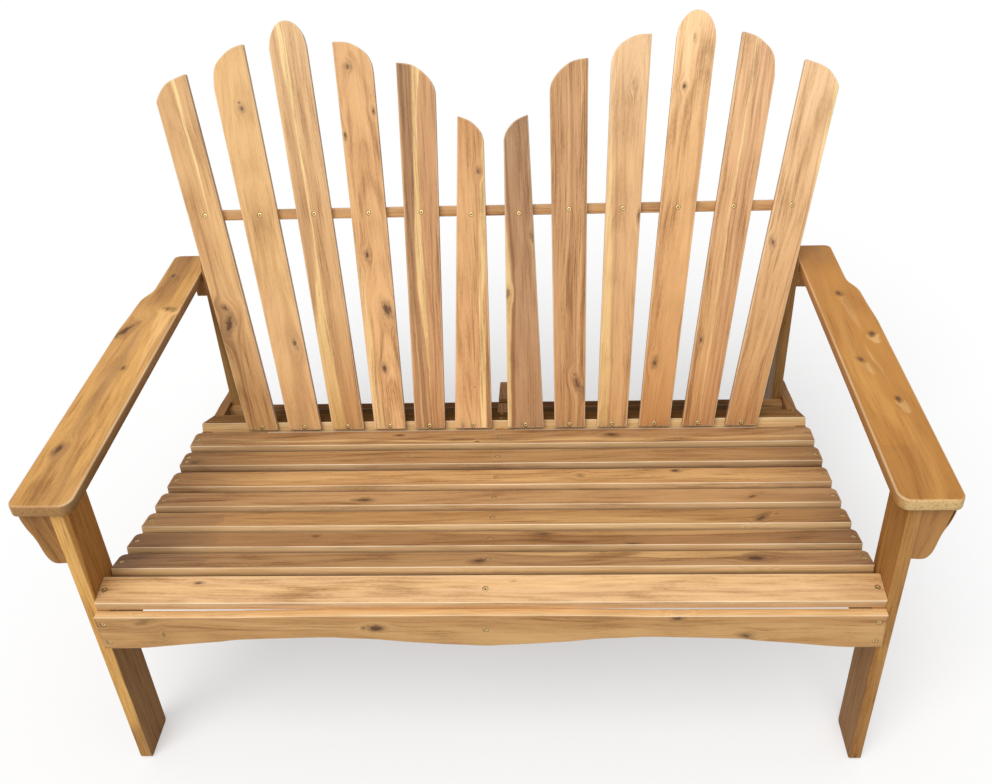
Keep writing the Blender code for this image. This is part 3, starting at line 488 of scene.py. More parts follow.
            ("sap", 0.35, 4, (-174, -20, -19), (-156, -24, -10), (-146, -22, -9), (-140, -20, -18)),
            ("sap", 0.25, 4, (-72, 4, 5), (-52, 2, 12), (-42, 3, 13), (-36, 6, 8)),
            ("sap", 0.3, 2, (-80, -13, -12), (-50, -12, -9), (-20, -9, -5), (10, -6, -5)),
            ("amber", 0.3, 10, (-368, -10, 20), (-250, -24, 10), (-120, 6, 36), (20, 10, 30)),
            ("dark", 0.2, 8, (-250, -20, 8), (-160, -30, -20), (40, 10, 26), (200, 6, 30)),
            ("grey", 0.25, 8, (290, -6, -4), (320, -14, 10), (368, -20, 10)),
        ),
        "knots": (
            (-28, 12, 9, 6, 10, 0.85), (48, -27, 9, 6, -20, 1), (-136, -15, 9, 5, 0, 1),
            (182, -5, 10, 6, 0, 1),
        ),
    },
    "front_leg_left": {
        "shade": (0.75, 0.7, 0.64),
        "painted_shade_along": ((-270, 1), (0, 1), (260, 1.1)),
        "streaks": (("amber", 1.3, 3, (-270, 44, 50), (-100, 38, 50), (60, 34, 50), (270, 28, 50)),),
    },
    "front_leg_right": {
        "shade": (0.8, 0.74, 0.67),
        "painted_shade_along": ((-270, 0.8), (0, 0.95), (260, 1)),
        "streaks": (("amber", 0.7, 3, (-270, 46, 50), (-100, 44, 50), (60, 42, 48), (270, 42, 46)),),
    },
    "arm_bracket_left": {"shade": (0.69, 0.63, 0.54)},
    "arm_bracket_right": {"shade": (0.76, 0.69, 0.67)},
    # The rail's top is painted in shade, darker still in the middle behind the back slats, and its front edge
    # is painted paler as lit.
    "lower_back_rail": {
        "heart": "seat", "shade": 0.62, "wear_and_highlight": 0.8, "brow": 0.85, "sheen": 0,
        "painted_shade_along": ((-585, 1), (-470, 0.9), (-440, 0.52), (440, 0.52), (470, 0.9), (585, 1)),
    },
    "upper_back_rail": {"heart": "seat", "shade": 0.95, "wear_and_highlight": 0.3},
    # The stretcher carries the back slats' painted shadow: darkest in the middle, lighter at the open ends.
    "rear_stretcher": {
        "heart": "seat", "shade": 0.8, "wear_and_highlight": 0.2, "sheen": 0.05,
        "painted_shade_along": ((-560, 1), (-480, 0.9), (-450, 0.3), (450, 0.3), (480, 0.9), (560, 1)),
    },
}


def linear(code):
    """The linear colour that an sRGB hex code stands for."""
    share = np.array([int(code[start : start + 2], 16) for start in (0, 2, 4)]) / 255
    return tuple(np.where(share <= 0.04045, share / 12.92, ((share + 0.055) / 1.055) ** 2.4))


def length(name, description, size):
    """A length that the panel can change."""
    return FloatProperty(name=name, description=description, default=size, unit="LENGTH")


def hex_colour(name, description, code):
    """A colour that the panel can change, given as its sRGB hex code."""
    return FloatVectorProperty(name=name, description=description, default=linear(code), subtype="COLOR")


class LoveseatSizes(bpy.types.PropertyGroup):
    """The sizes that the finished pieces add to the solids."""

    slat_edge: length("Back slat edge", "How far the back slats' edges are rounded over", 0.0016)
    seat_edge: length("Seat edge", "The same for the seat slats, the apron and the legs", 0.0009)
    arm_edge: length("Arm edge", "The same for the arms", 0.0026)
    frame_edge: length("Frame edge", "The same for the frame and the brackets", 0.0012)
    hidden_edge: length("Hidden edge", "The same for the seat's and the rail's edges below", 0.0003)
    screw_head: length("Screw head", "Radius of the screws' heads", 0.0037)
    screw_sink: length("Screw sink", "How deep the screw heads lie in the wood", 0.0005)
    cross_arm: length("Recess arm", "Half length of the cross in a screw head", 0.0022)
    cross_width: length("Recess width", "Half width of an arm of that cross", 0.00055)
    cross_depth: length("Recess depth", "Depth of that cross", 0.0011)


class LoveseatColours(bpy.types.PropertyGroup):
    """The colours that the wood, the metal and the floor are made of."""

    fan: hex_colour("Fan heartwood", "The back slats and the front seat slat", "DDAB77")
    seat: hex_colour("Seat heartwood", "The other seat slats, the apron and the rails", "C8965F")
    golden: hex_colour("Golden heartwood", "The arms, brackets, legs and posts", "CC9858")
    frame: hex_colour("Frame heartwood", "The stringers and the cleats", "9A6A3C")
    sap: hex_colour("Sapwood", "The pale streaks", "F3CF90")
    light: hex_colour("Light heartwood", "The paler bands", "EABD80")
    amber: hex_colour("Amber heartwood", "The golden bands", "E6AF62")
    # The greyed colour also paints the left arm's shadow on the left ends of seat slats 2 to 4.
    grey: hex_colour("Greyed heartwood", "The greyish bands", "96704C")
    dark: hex_colour("Dark heartwood", "The dark streaks and lines", "8E5D35")
    # The knots' colour also paints the shade in the screw holes and the screw crosses, and the shade and dirt
    # low on the faces.
    knot: hex_colour("Knots", "The knots' hearts and the oil in the screw holes", "5A3B26")
    wear_and_highlight: hex_colour("Worn edges", "Edges rubbed pale", "FFE9C4")
    # The pale edges are partly real wear and partly painted highlight, brightest on the lit front edges.
    steel: hex_colour("Plated steel", "The screw heads", "D8BF86")
    floor: hex_colour("Floor", "The floor", "FCFCFC")


class LoveseatStage(bpy.types.PropertyGroup):
    """The light on the stage."""

    sky: FloatProperty(name="Sky", description="Strength of the light from above", default=0.62)
    horizon: FloatProperty(name="Horizon", description="Strength of the light from the sides", default=0.16)
    lamp: FloatProperty(name="Lamp", description="Strength of the soft lamp from the front left", default=2.3)
    bounce: FloatProperty(name="Bounce", description="Share of light that the floor gives back", default=0.35)
    shadow: FloatProperty(name="Shadow", description="Share of the shadow that the floor shows", default=0.6)


def order_loop(following, start):
    """The points of one closed chain in order: each step doubles the chain by jumping as far as it runs."""
    chain = np.array([start])
    jump = following
    while True:
        ahead = jump[chain]
        again = np.flatnonzero(ahead == start)
        if len(again):
            return np.concatenate([chain, ahead[: again[0]]])
        if len(chain) > len(following):
            raise RuntimeError("a board's rim isn't closed")
        chain = np.concatenate([chain, ahead])
        jump = jump[jump]


def face_loops(triangles, count):
    """The closed rims of a flat face: the edges that only one of its triangles has, chained end to end."""
    starts = triangles.ravel()
    ends = np.roll(triangles, -1, axis=1).ravel()
    rim = ~np.isin(starts * count + ends, ends * count + starts)
    following = np.full(count, -1)
    following[starts[rim]] = ends[rim]
    left = np.zeros(count, bool)
    left[starts[rim]] = True
    loops = []
    while left.any():
        loop = order_loop(following, np.flatnonzero(left)[0])
        left[loop] = False
        loops.append(loop)
    return loops


def loop_area(outline):
    """Twice the signed area inside a closed outline."""
    ahead = np.roll(outline, -1, axis=0)
    return np.sum(outline[:, 0] * ahead[:, 1] - outline[:, 1] * ahead[:, 0])


def merged_mesh(name):
    """The points and triangles of a copy of a CAD node's mesh whose doubled points are merged."""
    shell = bmesh.new()
    shell.from_mesh(frame["nodes"][name].data)
    bmesh.ops.remove_doubles(shell, verts=shell.verts, dist=MERGE_DISTANCE)
    mesh = bpy.data.meshes.new("merged")
    shell.to_mesh(mesh)
    shell.free()
    mesh.calc_loop_triangles()
    points = np.empty(len(mesh.vertices) * 3)
    mesh.vertices.foreach_get("co", points)
    triangles = np.empty(len(mesh.loop_triangles) * 3, np.int32)
    mesh.loop_triangles.foreach_get("vertices", triangles)
    bpy.data.meshes.remove(mesh)
    return points.reshape(-1, 3), triangles.astype(np.int64).reshape(-1, 3)


def plain_cap(points, triangles, heights):
    """Which of a board's flat faces has the screws' heads, and the other face's screw holes and rim.

    The heads' side is the one with a countersink, and the upper one where there is none.
    """
    caps, radii, mouths = {}, {}, {}
    for side, level in ((1, heights.max()), (-1, heights.min())):
        flat = np.abs(heights[triangles] - level).max(axis=1) < CAP_TOLERANCE
        caps[side] = [points[loop] for loop in face_loops(triangles[flat], len(points))]
        radii[side] = [np.linalg.norm(loop - loop.mean(axis=0), axis=1).mean() for loop in caps[side]]
        mouths[side] = sum(MOUTH_RADII[0] < radius < MOUTH_RADII[1] for radius in radii[side])
    heads = -1 if mouths[-1] else 1
    loops = caps[-heads]
    rim = loops[int(np.argmax(radii[-heads]))]
    holes = []
    if mouths[heads]:
        holes = [loop.mean(axis=0) for loop, radius in zip(loops, radii[-heads]) if radius < MOUTH_RADII[0]]
    return heads, holes, rim


def read_board(name, chamfer, normal=None):
    """A CAD board's own axes, half thickness, outline and screw mouths, read from its mesh.

    The normal is that of the largest triangle, turned to the viewer. The grain runs along the mean direction
    of the rim's edges, each weighed by its length. The outline is the rim, moved out again by its chamfer.
    """
    points, triangles = merged_mesh(name)
    first, second, third = points[triangles].transpose(1, 0, 2)
    cross = np.cross(second - first, third - first)
    area = np.linalg.norm(cross, axis=1)
    if normal is None:
        normal = cross[np.argmax(area)] / area.max()
        normal = normal * (1 if normal @ TOWARDS_VIEWER > 0 else -1)
    normal = np.array(normal, float)
    heights = points @ normal
    side, holes, rim = plain_cap(points, triangles, heights)
    step = np.roll(rim, -1, axis=0) - rim
    weight = 1 / np.linalg.norm(step, axis=1)
    _, axes = np.linalg.eigh(np.einsum("i,ij,ik->jk", weight, step, step))
    along = axes[:, 2] - normal * (axes[:, 2] @ normal)
    along *= np.sign(along[np.argmax(np.abs(along))]) / np.linalg.norm(along)
    centre = (points.max(axis=0) + points.min(axis=0)) / 2
    basis = np.array([along, np.cross(normal, along), normal])
    local = (points - centre) @ basis.T
    centre = centre + (local.max(axis=0) + local.min(axis=0)) / 2 @ basis
    flat_axes = basis[:2].T
    outline = (rim - centre) @ flat_axes
    if loop_area(outline) < 0:
        outline = outline[::-1]
    return {
        "centre": centre,
        "basis": basis,
        "half": (heights.max() - heights.min()) / 2,
        "outline": outline - miter(outline) * chamfer,
        "mouths": [(side, *((hole - centre) @ flat_axes)) for hole in holes],
    }


def miter(outline):
    """For each corner, the inward shift that moves both of its edges in by one."""
    step = np.roll(outline, -1, axis=0) - outline
    step = step / np.linalg.norm(step, axis=1)[:, None]
    inward = np.stack([-step[:, 1], step[:, 0]], axis=1)
    before = np.roll(inward, 1, axis=0)
    return (inward + before) / (1 + np.sum(inward * before, axis=1))[:, None]


def soften_corners(outline, radius, steps, least, most=180):
    """Each corner that turns by an angle between these becomes a parabola, tangent to its two edges."""
    ahead = np.roll(outline, -1, axis=0) - outline
    span = np.linalg.norm(ahead, axis=1)
    direction = ahead / span[:, None]
    before = np.roll(direction, 1, axis=0)
    turn = np.arccos(np.clip(np.sum(before * direction, axis=1), -1, 1))
    sharp = (turn > math.radians(least)) & (turn < math.radians(most))
    reach = radius * np.tan(np.where(sharp, turn, 0) / 2)
    reach = np.minimum(reach, REACH_SHARE * np.minimum(span, np.roll(span, 1)))
    start = outline - before * reach[:, None]
    end = outline + direction * reach[:, None]
    t = np.linspace(0, 1, steps + 1)[None, :, None]
    bend = start[:, None] * (1 - t) ** 2 + outline[:, None] * 2 * t * (1 - t) + end[:, None] * t**2
    keep = np.repeat(sharp[:, None], steps + 1, axis=1)
    keep[:, 0] = True
    return bend[keep]


def flow(outline):
    """The outline with its short edges bent: each is a cubic whose ends follow the outline's own direction.

    Beside an edge three times longer, that direction is the long edge's, so straight runs stay straight.
    No point leaves the box of the four corners round it.
    """
    ahead = np.roll(outline, -1, axis=0) - outline
    span = np.linalg.norm(ahead, axis=1)[:, None]
    direction = ahead / span
    before = np.roll(direction, 1, axis=0)
    before_span = np.roll(span, 1, axis=0)
    tangent = before * span + direction * before_span
    tangent = np.where(before_span > STRAIGHT_SHARE * span, before, tangent)
    tangent = np.where(span > STRAIGHT_SHARE * before_span, direction, tangent)
    tangent /= np.linalg.norm(tangent, axis=1)[:, None]
    t = np.linspace(0, 1, CURVE_STEPS, endpoint=False)[None, :, None]
    start, end = outline[:, None], np.roll(outline, -1, axis=0)[:, None]
    leave = (tangent * span)[:, None]
    arrive = (np.roll(tangent, -1, axis=0) * span)[:, None]
    bent = start * (1 + 2 * t) * (1 - t) ** 2 + leave * t * (1 - t) ** 2
    bent = bent + end * t**2 * (3 - 2 * t) - arrive * t**2 * (1 - t)
    around = np.stack([np.roll(outline, shift, axis=0) for shift in (1, 0, -1, -2)])
    bent = np.clip(bent, around.min(axis=0)[:, None], around.max(axis=0)[:, None])
    keep = np.repeat(span < CURVE_LENGTH, CURVE_STEPS, axis=1)
    keep[:, 0] = True
    return bent[keep]


def strip_faces(first, rows, columns):
    """The quads of a closed band of points, row by row."""
    row, column = np.meshgrid(np.arange(rows - 1), np.arange(columns), indexing="ij")
    here = first + row * columns + column
    beside = first + row * columns + (column + 1) % columns
    return np.stack([here, here + columns, beside + columns, beside], axis=-1).reshape(-1, 4)


def cap_faces(loops, ids, side):
    """The triangles that fill a flat face between its rim and its screw holes, facing up or down."""
    flat = np.concatenate(loops)
    triangles = np.array(tessellate_polygon([[Vector((u, v, 0)) for u, v in loop] for loop in loops]))
    first, second, third = flat[triangles].transpose(1, 0, 2)
    turn = (second - first)[:, 0] * (third - first)[:, 1] - (second - first)[:, 1] * (third - first)[:, 0]
    wrong = turn * side < 0
    triangles[wrong] = triangles[wrong][:, ::-1]
    return np.concatenate(ids)[triangles]


def board_mesh(board, radius, back_radius, wear_and_highlight_side):
    """A board as a rounded edge profile carried round its outline, with caps and countersunk holes.

    Every ring of the profile is the outline moved in by its inset, at the profile's own height. The inset and
    the height run over two quarter circles, of one radius at the visible face and of another at the back,
    after a flat ring for the pale band of wear and painted highlight beside the edge. A hole is a ring of
    each of its radii. The points' marks say where the wood is rubbed and lit by a painted highlight, faces
    the front and gets painted light and shade, shows its end grain and gets painted shade in a screw hole.
    """
    outline = soften_corners(board["outline"], CROWN_RADIUS, CROWN_STEPS, *CROWN_ANGLES)
    outline = soften_corners(outline, CORNER_SHARE * radius, CORNER_STEPS, CROWN_ANGLES[1])
    outline = flow(outline)
    half, count = board["half"], len(outline)
    bend = np.linspace(0, math.pi / 2, EDGE_STEPS)
    back_bend = bend[::-1]
    inset = [[radius + PALE_BAND_WIDTH], radius * (1 - np.sin(bend)), back_radius * (1 - np.sin(back_bend))]
    height = [[half], half - radius * (1 - np.cos(bend)), back_radius * (1 - np.cos(back_bend)) - half]
    inset, height = np.concatenate(inset), np.concatenate(height)
    wall = miter(outline)
    rings = outline[None] + wall[None] * inset[:, None, None]
    points = np.column_stack([rings.reshape(-1, 2), np.repeat(height, count)])
    wear_and_highlight = np.ones(count)
    # Edges facing this side are rubbed and get the painted highlight most, the others least
    if wear_and_highlight_side is not None:
        outward = -wall / np.linalg.norm(wall, axis=1)[:, None]
        wear_and_highlight = LEAST_WEAR_AND_HIGHLIGHT + (1 - LEAST_WEAR_AND_HIGHLIGHT) * np.clip(outward @ wear_and_highlight_side, 0, 1)
    end_share = wall[:, 0] ** 2 / np.sum(wall**2, axis=1)
    facing = np.concatenate([[0], np.sin(bend), np.sin(back_bend)])
    marks = {
        "edge": np.outer(WEAR_AND_HIGHLIGHT_SHARES, wear_and_highlight).ravel(),
        "brow": np.outer(BROW_SHARES, (wear_and_highlight - LEAST_WEAR_AND_HIGHLIGHT) / (1 - LEAST_WEAR_AND_HIGHLIGHT)).ravel(),
        "end": np.outer(facing, end_share).ravel(),
        "hole_shade": np.zeros(len(points)),
    }
    quads = [strip_faces(0, len(height), count)]
    smooth = [np.ones(len(quads[0]), bool)]
    loops = {1: [rings[0]], -1: [rings[-1]]}
    ids = {1: [np.arange(count)], -1: [np.arange(count) + (len(height) - 1) * count]}
    spin = np.linspace(0, 2 * math.pi, HOLE_SIDES, endpoint=False)
    circle = np.stack([np.cos(spin), np.sin(spin)], axis=1)
    radii = np.array([HOLE_MOUTH + PALE_BAND_WIDTH, HOLE_MOUTH, HOLE_NECK, HOLE_NECK])
    last = len(radii) - 1
    # The walls of a screw hole get painted shade
    hole_shaded = np.repeat([0.0, 1.0, 1.0, 1.0], HOLE_SIDES)
    for side, u, v in board["mouths"]:
        first = len(points)
        levels = np.array([half, half, half - HOLE_DEPTH, -half]) * side
        hole = np.array([u, v]) + circle[None] * radii[:, None, None]
        bored = np.column_stack([hole.reshape(-1, 2), np.repeat(levels, HOLE_SIDES)])
        points = np.concatenate([points, bored])
        made = strip_faces(first, len(radii), HOLE_SIDES)
        quads.append(made if side < 0 else made[:, ::-1])
        smooth.append(np.zeros(len(made), bool))
        for key, values in marks.items():
            marks[key] = np.concatenate([values, hole_shaded if key == "hole_shade" else 0 * hole_shaded])
        for cap, ring in ((side, 0), (-side, last)):
            loops[cap].append(hole[ring])
            ids[cap].append(first + ring * HOLE_SIDES + np.arange(HOLE_SIDES))
    triangles = np.concatenate([cap_faces(loops[side], ids[side], side) for side in (1, -1)])
    smooth = np.concatenate([*smooth, np.zeros(len(triangles), bool)])
    return {"points": points, "quads": np.concatenate(quads), "triangles": triangles, "smooth": smooth}, marks


def read_screw(name):
    """A CAD screw's head centre, the direction of its axis and its length, read from its mesh.

    The axis is the direction in which the points spread furthest; the head is at the end with the wider
    points.
    """
    points, _ = merged_mesh(name)
    centre = points.mean(axis=0)
    _, _, axes = np.linalg.svd(points - centre)
    along = (points - centre) @ axes[0]
    reach = np.linalg.norm((points - centre) - along[:, None] * axes[0], axis=1)
    if along[np.argmax(reach)] > 0:
        axes[0], along = -axes[0], -along
    return centre + axes[0] * along.min(), axes[0], along.max() - along.min()


def screw_mesh(sizes, reach):
    """A countersunk screw: its profile turned about its axis, with a cross pressed into the head.

    The head's face is domed by the square of the radius. Near either arm of the cross it dips to the recess's
    depth over a soft wall. Below the rim the profile narrows to the shank and closes in a point.
    """
    head, shank = sizes.screw_head, sizes.screw_head * SHANK_SHARE
    share = np.array(HEAD_RING_SHARES)
    radii = np.concatenate([share * head, [head, head * RIM_SHARE, shank, shank, shank * POINT_SHARE]])
    dome = HEAD_DOME * (1 - share**2)
    drop = sizes.screw_sink + HEAD_DOME
    below = [*(-drop - step for step in RIM_DROPS), POINT_LENGTH - reach, TIP_LENGTH - reach]
    heights = np.concatenate([dome - drop, below])
    spin = np.linspace(0, 2 * math.pi, SCREW_SIDES, endpoint=False)
    x = np.outer(radii, np.cos(spin))
    y = np.outer(radii, np.sin(spin))
    across = np.minimum(np.abs(x), np.abs(y))
    along = np.maximum(np.abs(x), np.abs(y))
    inside = np.clip(CROSS_WALL - across / sizes.cross_width, 0, 1)
    inside = inside * np.clip(CROSS_END * (1 - along / sizes.cross_arm), 0, 1)
    inside[len(share) :] = 0
    z = heights[:, None] - inside * sizes.cross_depth
    points = np.stack([x, y, z], axis=-1).reshape(-1, 3)
    top, tip = len(points), len(points) + 1
    points = np.concatenate([points, [[0, 0, HEAD_DOME - drop - sizes.cross_depth], [0, 0, -reach]]])
    here = np.arange(SCREW_SIDES)
    beside = (here + 1) % SCREW_SIDES
    last = (len(radii) - 1) * SCREW_SIDES
    lid = np.column_stack([np.full(SCREW_SIDES, top), here, beside])
    foot = np.column_stack([np.full(SCREW_SIDES, tip), last + beside, last + here])
    quads = strip_faces(0, len(radii), SCREW_SIDES)
    return points, quads, np.concatenate([lid, foot]), np.concatenate([inside.ravel(), [1, 0]])


def set_screws(context, name, spots, reach):
    """Makes one object of like screws, each at a head centre, along a direction and turned its own way."""
    points, quads, triangles, hollow = screw_mesh(context.scene.loveseat_sizes, reach)
    placed = []
    for number, (centre, into) in enumerate(spots):
        into = np.array(into, float)
        side = np.cross(into, ASKEW)
        side /= np.linalg.norm(side)
        turn = SCREW_TURN * number + len(name)
        first = side * math.cos(turn) + np.cross(into, side) * math.sin(turn)
        basis = np.array([first, np.cross(-into, first), -into])
        placed.append(points @ basis + centre)
    shifts = (np.arange(len(spots)) * len(points))[:, None, None]
    faces = len(spots) * (len(quads) + len(triangles))
    joined = {
        "points": np.concatenate(placed),
        "quads": (quads[None] + shifts).reshape(-1, 4),
        "triangles": (triangles[None] + shifts).reshape(-1, 3),
        "smooth": np.ones(faces, bool),
    }
    piece = make_object(name, joined, {"hollow": np.tile(hollow, len(spots))})
    piece.data.materials.append(zinc_plated_steel(name, context.scene.loveseat_colours))
    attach(piece, "root")
    return piece


def make_object(name, shape, marks):
    """An object at the origin whose mesh has these points and faces, and these marks in its points."""
    points, quads, triangles = shape["points"], shape["quads"], shape["triangles"]
    mesh = bpy.data.meshes.new(name)
    mesh.vertices.add(len(points))
    mesh.vertices.foreach_set("co", points.ravel())
    mesh.loops.add(quads.size + triangles.size)
    corners = np.concatenate([quads.ravel(), triangles.ravel()])
    mesh.loops.foreach_set("vertex_index", corners.astype(np.int32))
    mesh.polygons.add(len(quads) + len(triangles))
    starts = np.concatenate([np.arange(len(quads)) * 4, quads.size + np.arange(len(triangles)) * 3])
    mesh.polygons.foreach_set("loop_start", starts.astype(np.int32))
    mesh.polygons.foreach_set("use_smooth", shape["smooth"])
    mesh.update(calc_edges=True)
    if mesh.validate():
        raise RuntimeError(f"{name} has faulty faces")
    for key, values in marks.items():
        mesh.attributes.new(key, "FLOAT", "POINT").data.foreach_set("value", values)
    made = bpy.data.objects.new(name, mesh)
    bpy.context.scene.collection.objects.link(made)
    return made


def add(tree, kind, inputs=(), out=0, points=(), stops=(), **settings):
    """Adds a shader node with its settings, curve points and ramp stops, and its inputs as values or links.

    It returns one of the node's outputs, or more of them where out is a slice.
    """
    made = tree.nodes.new("ShaderNode" + kind)
    for key, value in settings.items():
        setattr(made, key, value)
    for number, point in enumerate(points):
        line = made.mapping.curves[0].points
        if number < 2:
            line[number].location = point
        else:
            line.new(*point)
    if points:
        made.mapping.update()
    for number, (place, colour) in enumerate(stops):
        stop = made.color_ramp.elements[number] if number < 2 else made.color_ramp.elements.new(place)
        stop.position = place
        stop.color = (*colour, 1)
    for socket, value in dict(inputs).items():
        if isinstance(value, bpy.types.NodeSocket):
            tree.links.new(value, made.inputs[socket])
        else:
            made.inputs[socket].default_value = value
    return made.outputs[out] if made.outputs else None


def new_material(name):
    """An empty node material and the node tree that fills it."""
    material = bpy.data.materials.new(name)
    material.use_nodes = True
    material.node_tree.nodes.clear()
    return material, material.node_tree


def tinted(colour, tones):
    """Ramp stops in this colour, each multiplied by its tone."""
    return [(place, np.array(colour) * tone) for place, tone in tones]


def grain_pattern(tree, place, scale, detail, roughness=0.5, start=(0, 0, 0)):
    """A pattern of soft spots that is stretched along the grain."""
    stretched = add(tree, "Mapping", {"Vector": place, "Scale": scale, "Location": start})
    settings = {"Vector": stretched, "Scale": 1.0, "Detail": detail, "Roughness": roughness}
    return add(tree, "TexNoise", settings)


def zinc_plated_steel(name, colours):
    """Steel screws plated with yellow zinc: bright where a driver rubbed them, with brown painted shade in
    the cross.
    """
    material, tree = new_material("yellow_zinc_plated_steel_" + name)
    place = add(tree, "TexCoord", out="Object")
    cloud = add(tree, "TexNoise", {"Vector": place, **PLATING_CLOUD})
    colour = add(tree, "ValToRGB", {"Fac": cloud}, stops=tinted(colours.steel, PLATING_TONES))
    hollow = add(tree, "Attribute", out="Fac", attribute_name="hollow")
    # The cross in the head is painted brown as shade
    shaded_cross = add(tree, "Mix", {0: hollow, 6: colour, 7: (*colours.knot, 1)}, out=2, data_type="RGBA")
    roughness = add(tree, "MapRange", {0: cloud, **PLATING_ROUGHNESS})
    shine = add(tree, "MapRange", {0: hollow, **PLATING_SHINE})
    shader = add(tree, "BsdfPrincipled", {"Base Color": shaded_cross, "Roughness": roughness, "Metallic": shine})
    add(tree, "OutputMaterial", {"Surface": shader})
    return material


def knotted_grain(tree, flat, line, knots, uneven):
    """The grain line drawn in towards each knot, so that the figure flows round it, and the nearest knot.

    A knot is an ellipse; the distance is measured in its own half lengths and made uneven by a noise. Within
    about three of them the line's place across the board moves towards the knot's, fully so at its heart.
    """
    nearest = None
    for u, v, half_length, half_width, turn, depth in knots:
        ellipse = {
            "Vector": flat,
            "Location": (u * MM, v * MM, 0),
            "Rotation": (0, 0, math.radians(turn)),
            "Scale": (half_length * MM, half_width * MM, 1),
        }
        local = add(tree, "Mapping", ellipse, vector_type="TEXTURE")
        reach = add(tree, "VectorMath", {0: local}, out="Value", operation="LENGTH")
        draw = add(tree, "MapRange", {0: reach, **KNOT_PULL}, interpolation_type="SMOOTHERSTEP")
        line = add(tree, "Mix", {0: draw, 2: line, 3: v * MM}, data_type="FLOAT")
        rough = add(tree, "Math", {0: uneven, 1: KNOT_RAGGED, 2: reach}, operation="MULTIPLY_ADD")
        rough = add(tree, "Math", {0: rough, 1: KNOT_RIM - KNOT_FAINT * (1 - depth)}, operation="SUBTRACT")
        if nearest is None:
            nearest = rough
        else:
            nearest = add(tree, "Math", {0: nearest, 1: rough}, operation="MINIMUM")
    return line, nearest


def streak_share(tree, u, v, rows, softness):
    """How far a point lies inside a streak, whose two edges across the board are curves along it."""
    sides = []
    soft = softness * MM / (2 * SPREAD)
    for number, ends in ((1, {3: 0.0, 4: 1.0}), (2, {3: 1.0, 4: 0.0})):
        edge = [(row[0] * MM, row[number] * MM) for row in rows]
        spots = [((along + REACH) / (2 * REACH), (across + SPREAD) / (2 * SPREAD)) for along, across in edge]
        border = add(tree, "FloatCurve", {"Value": u}, points=spots)
        inside = add(tree, "Math", {0: v, 1: border}, operation="SUBTRACT")
        span = {0: inside, 1: -soft, 2: soft, **ends}
        sides.append(add(tree, "MapRange", span, interpolation_type="SMOOTHSTEP"))
    return add(tree, "Math", {0: sides[0], 1: sides[1]}, operation="MULTIPLY")


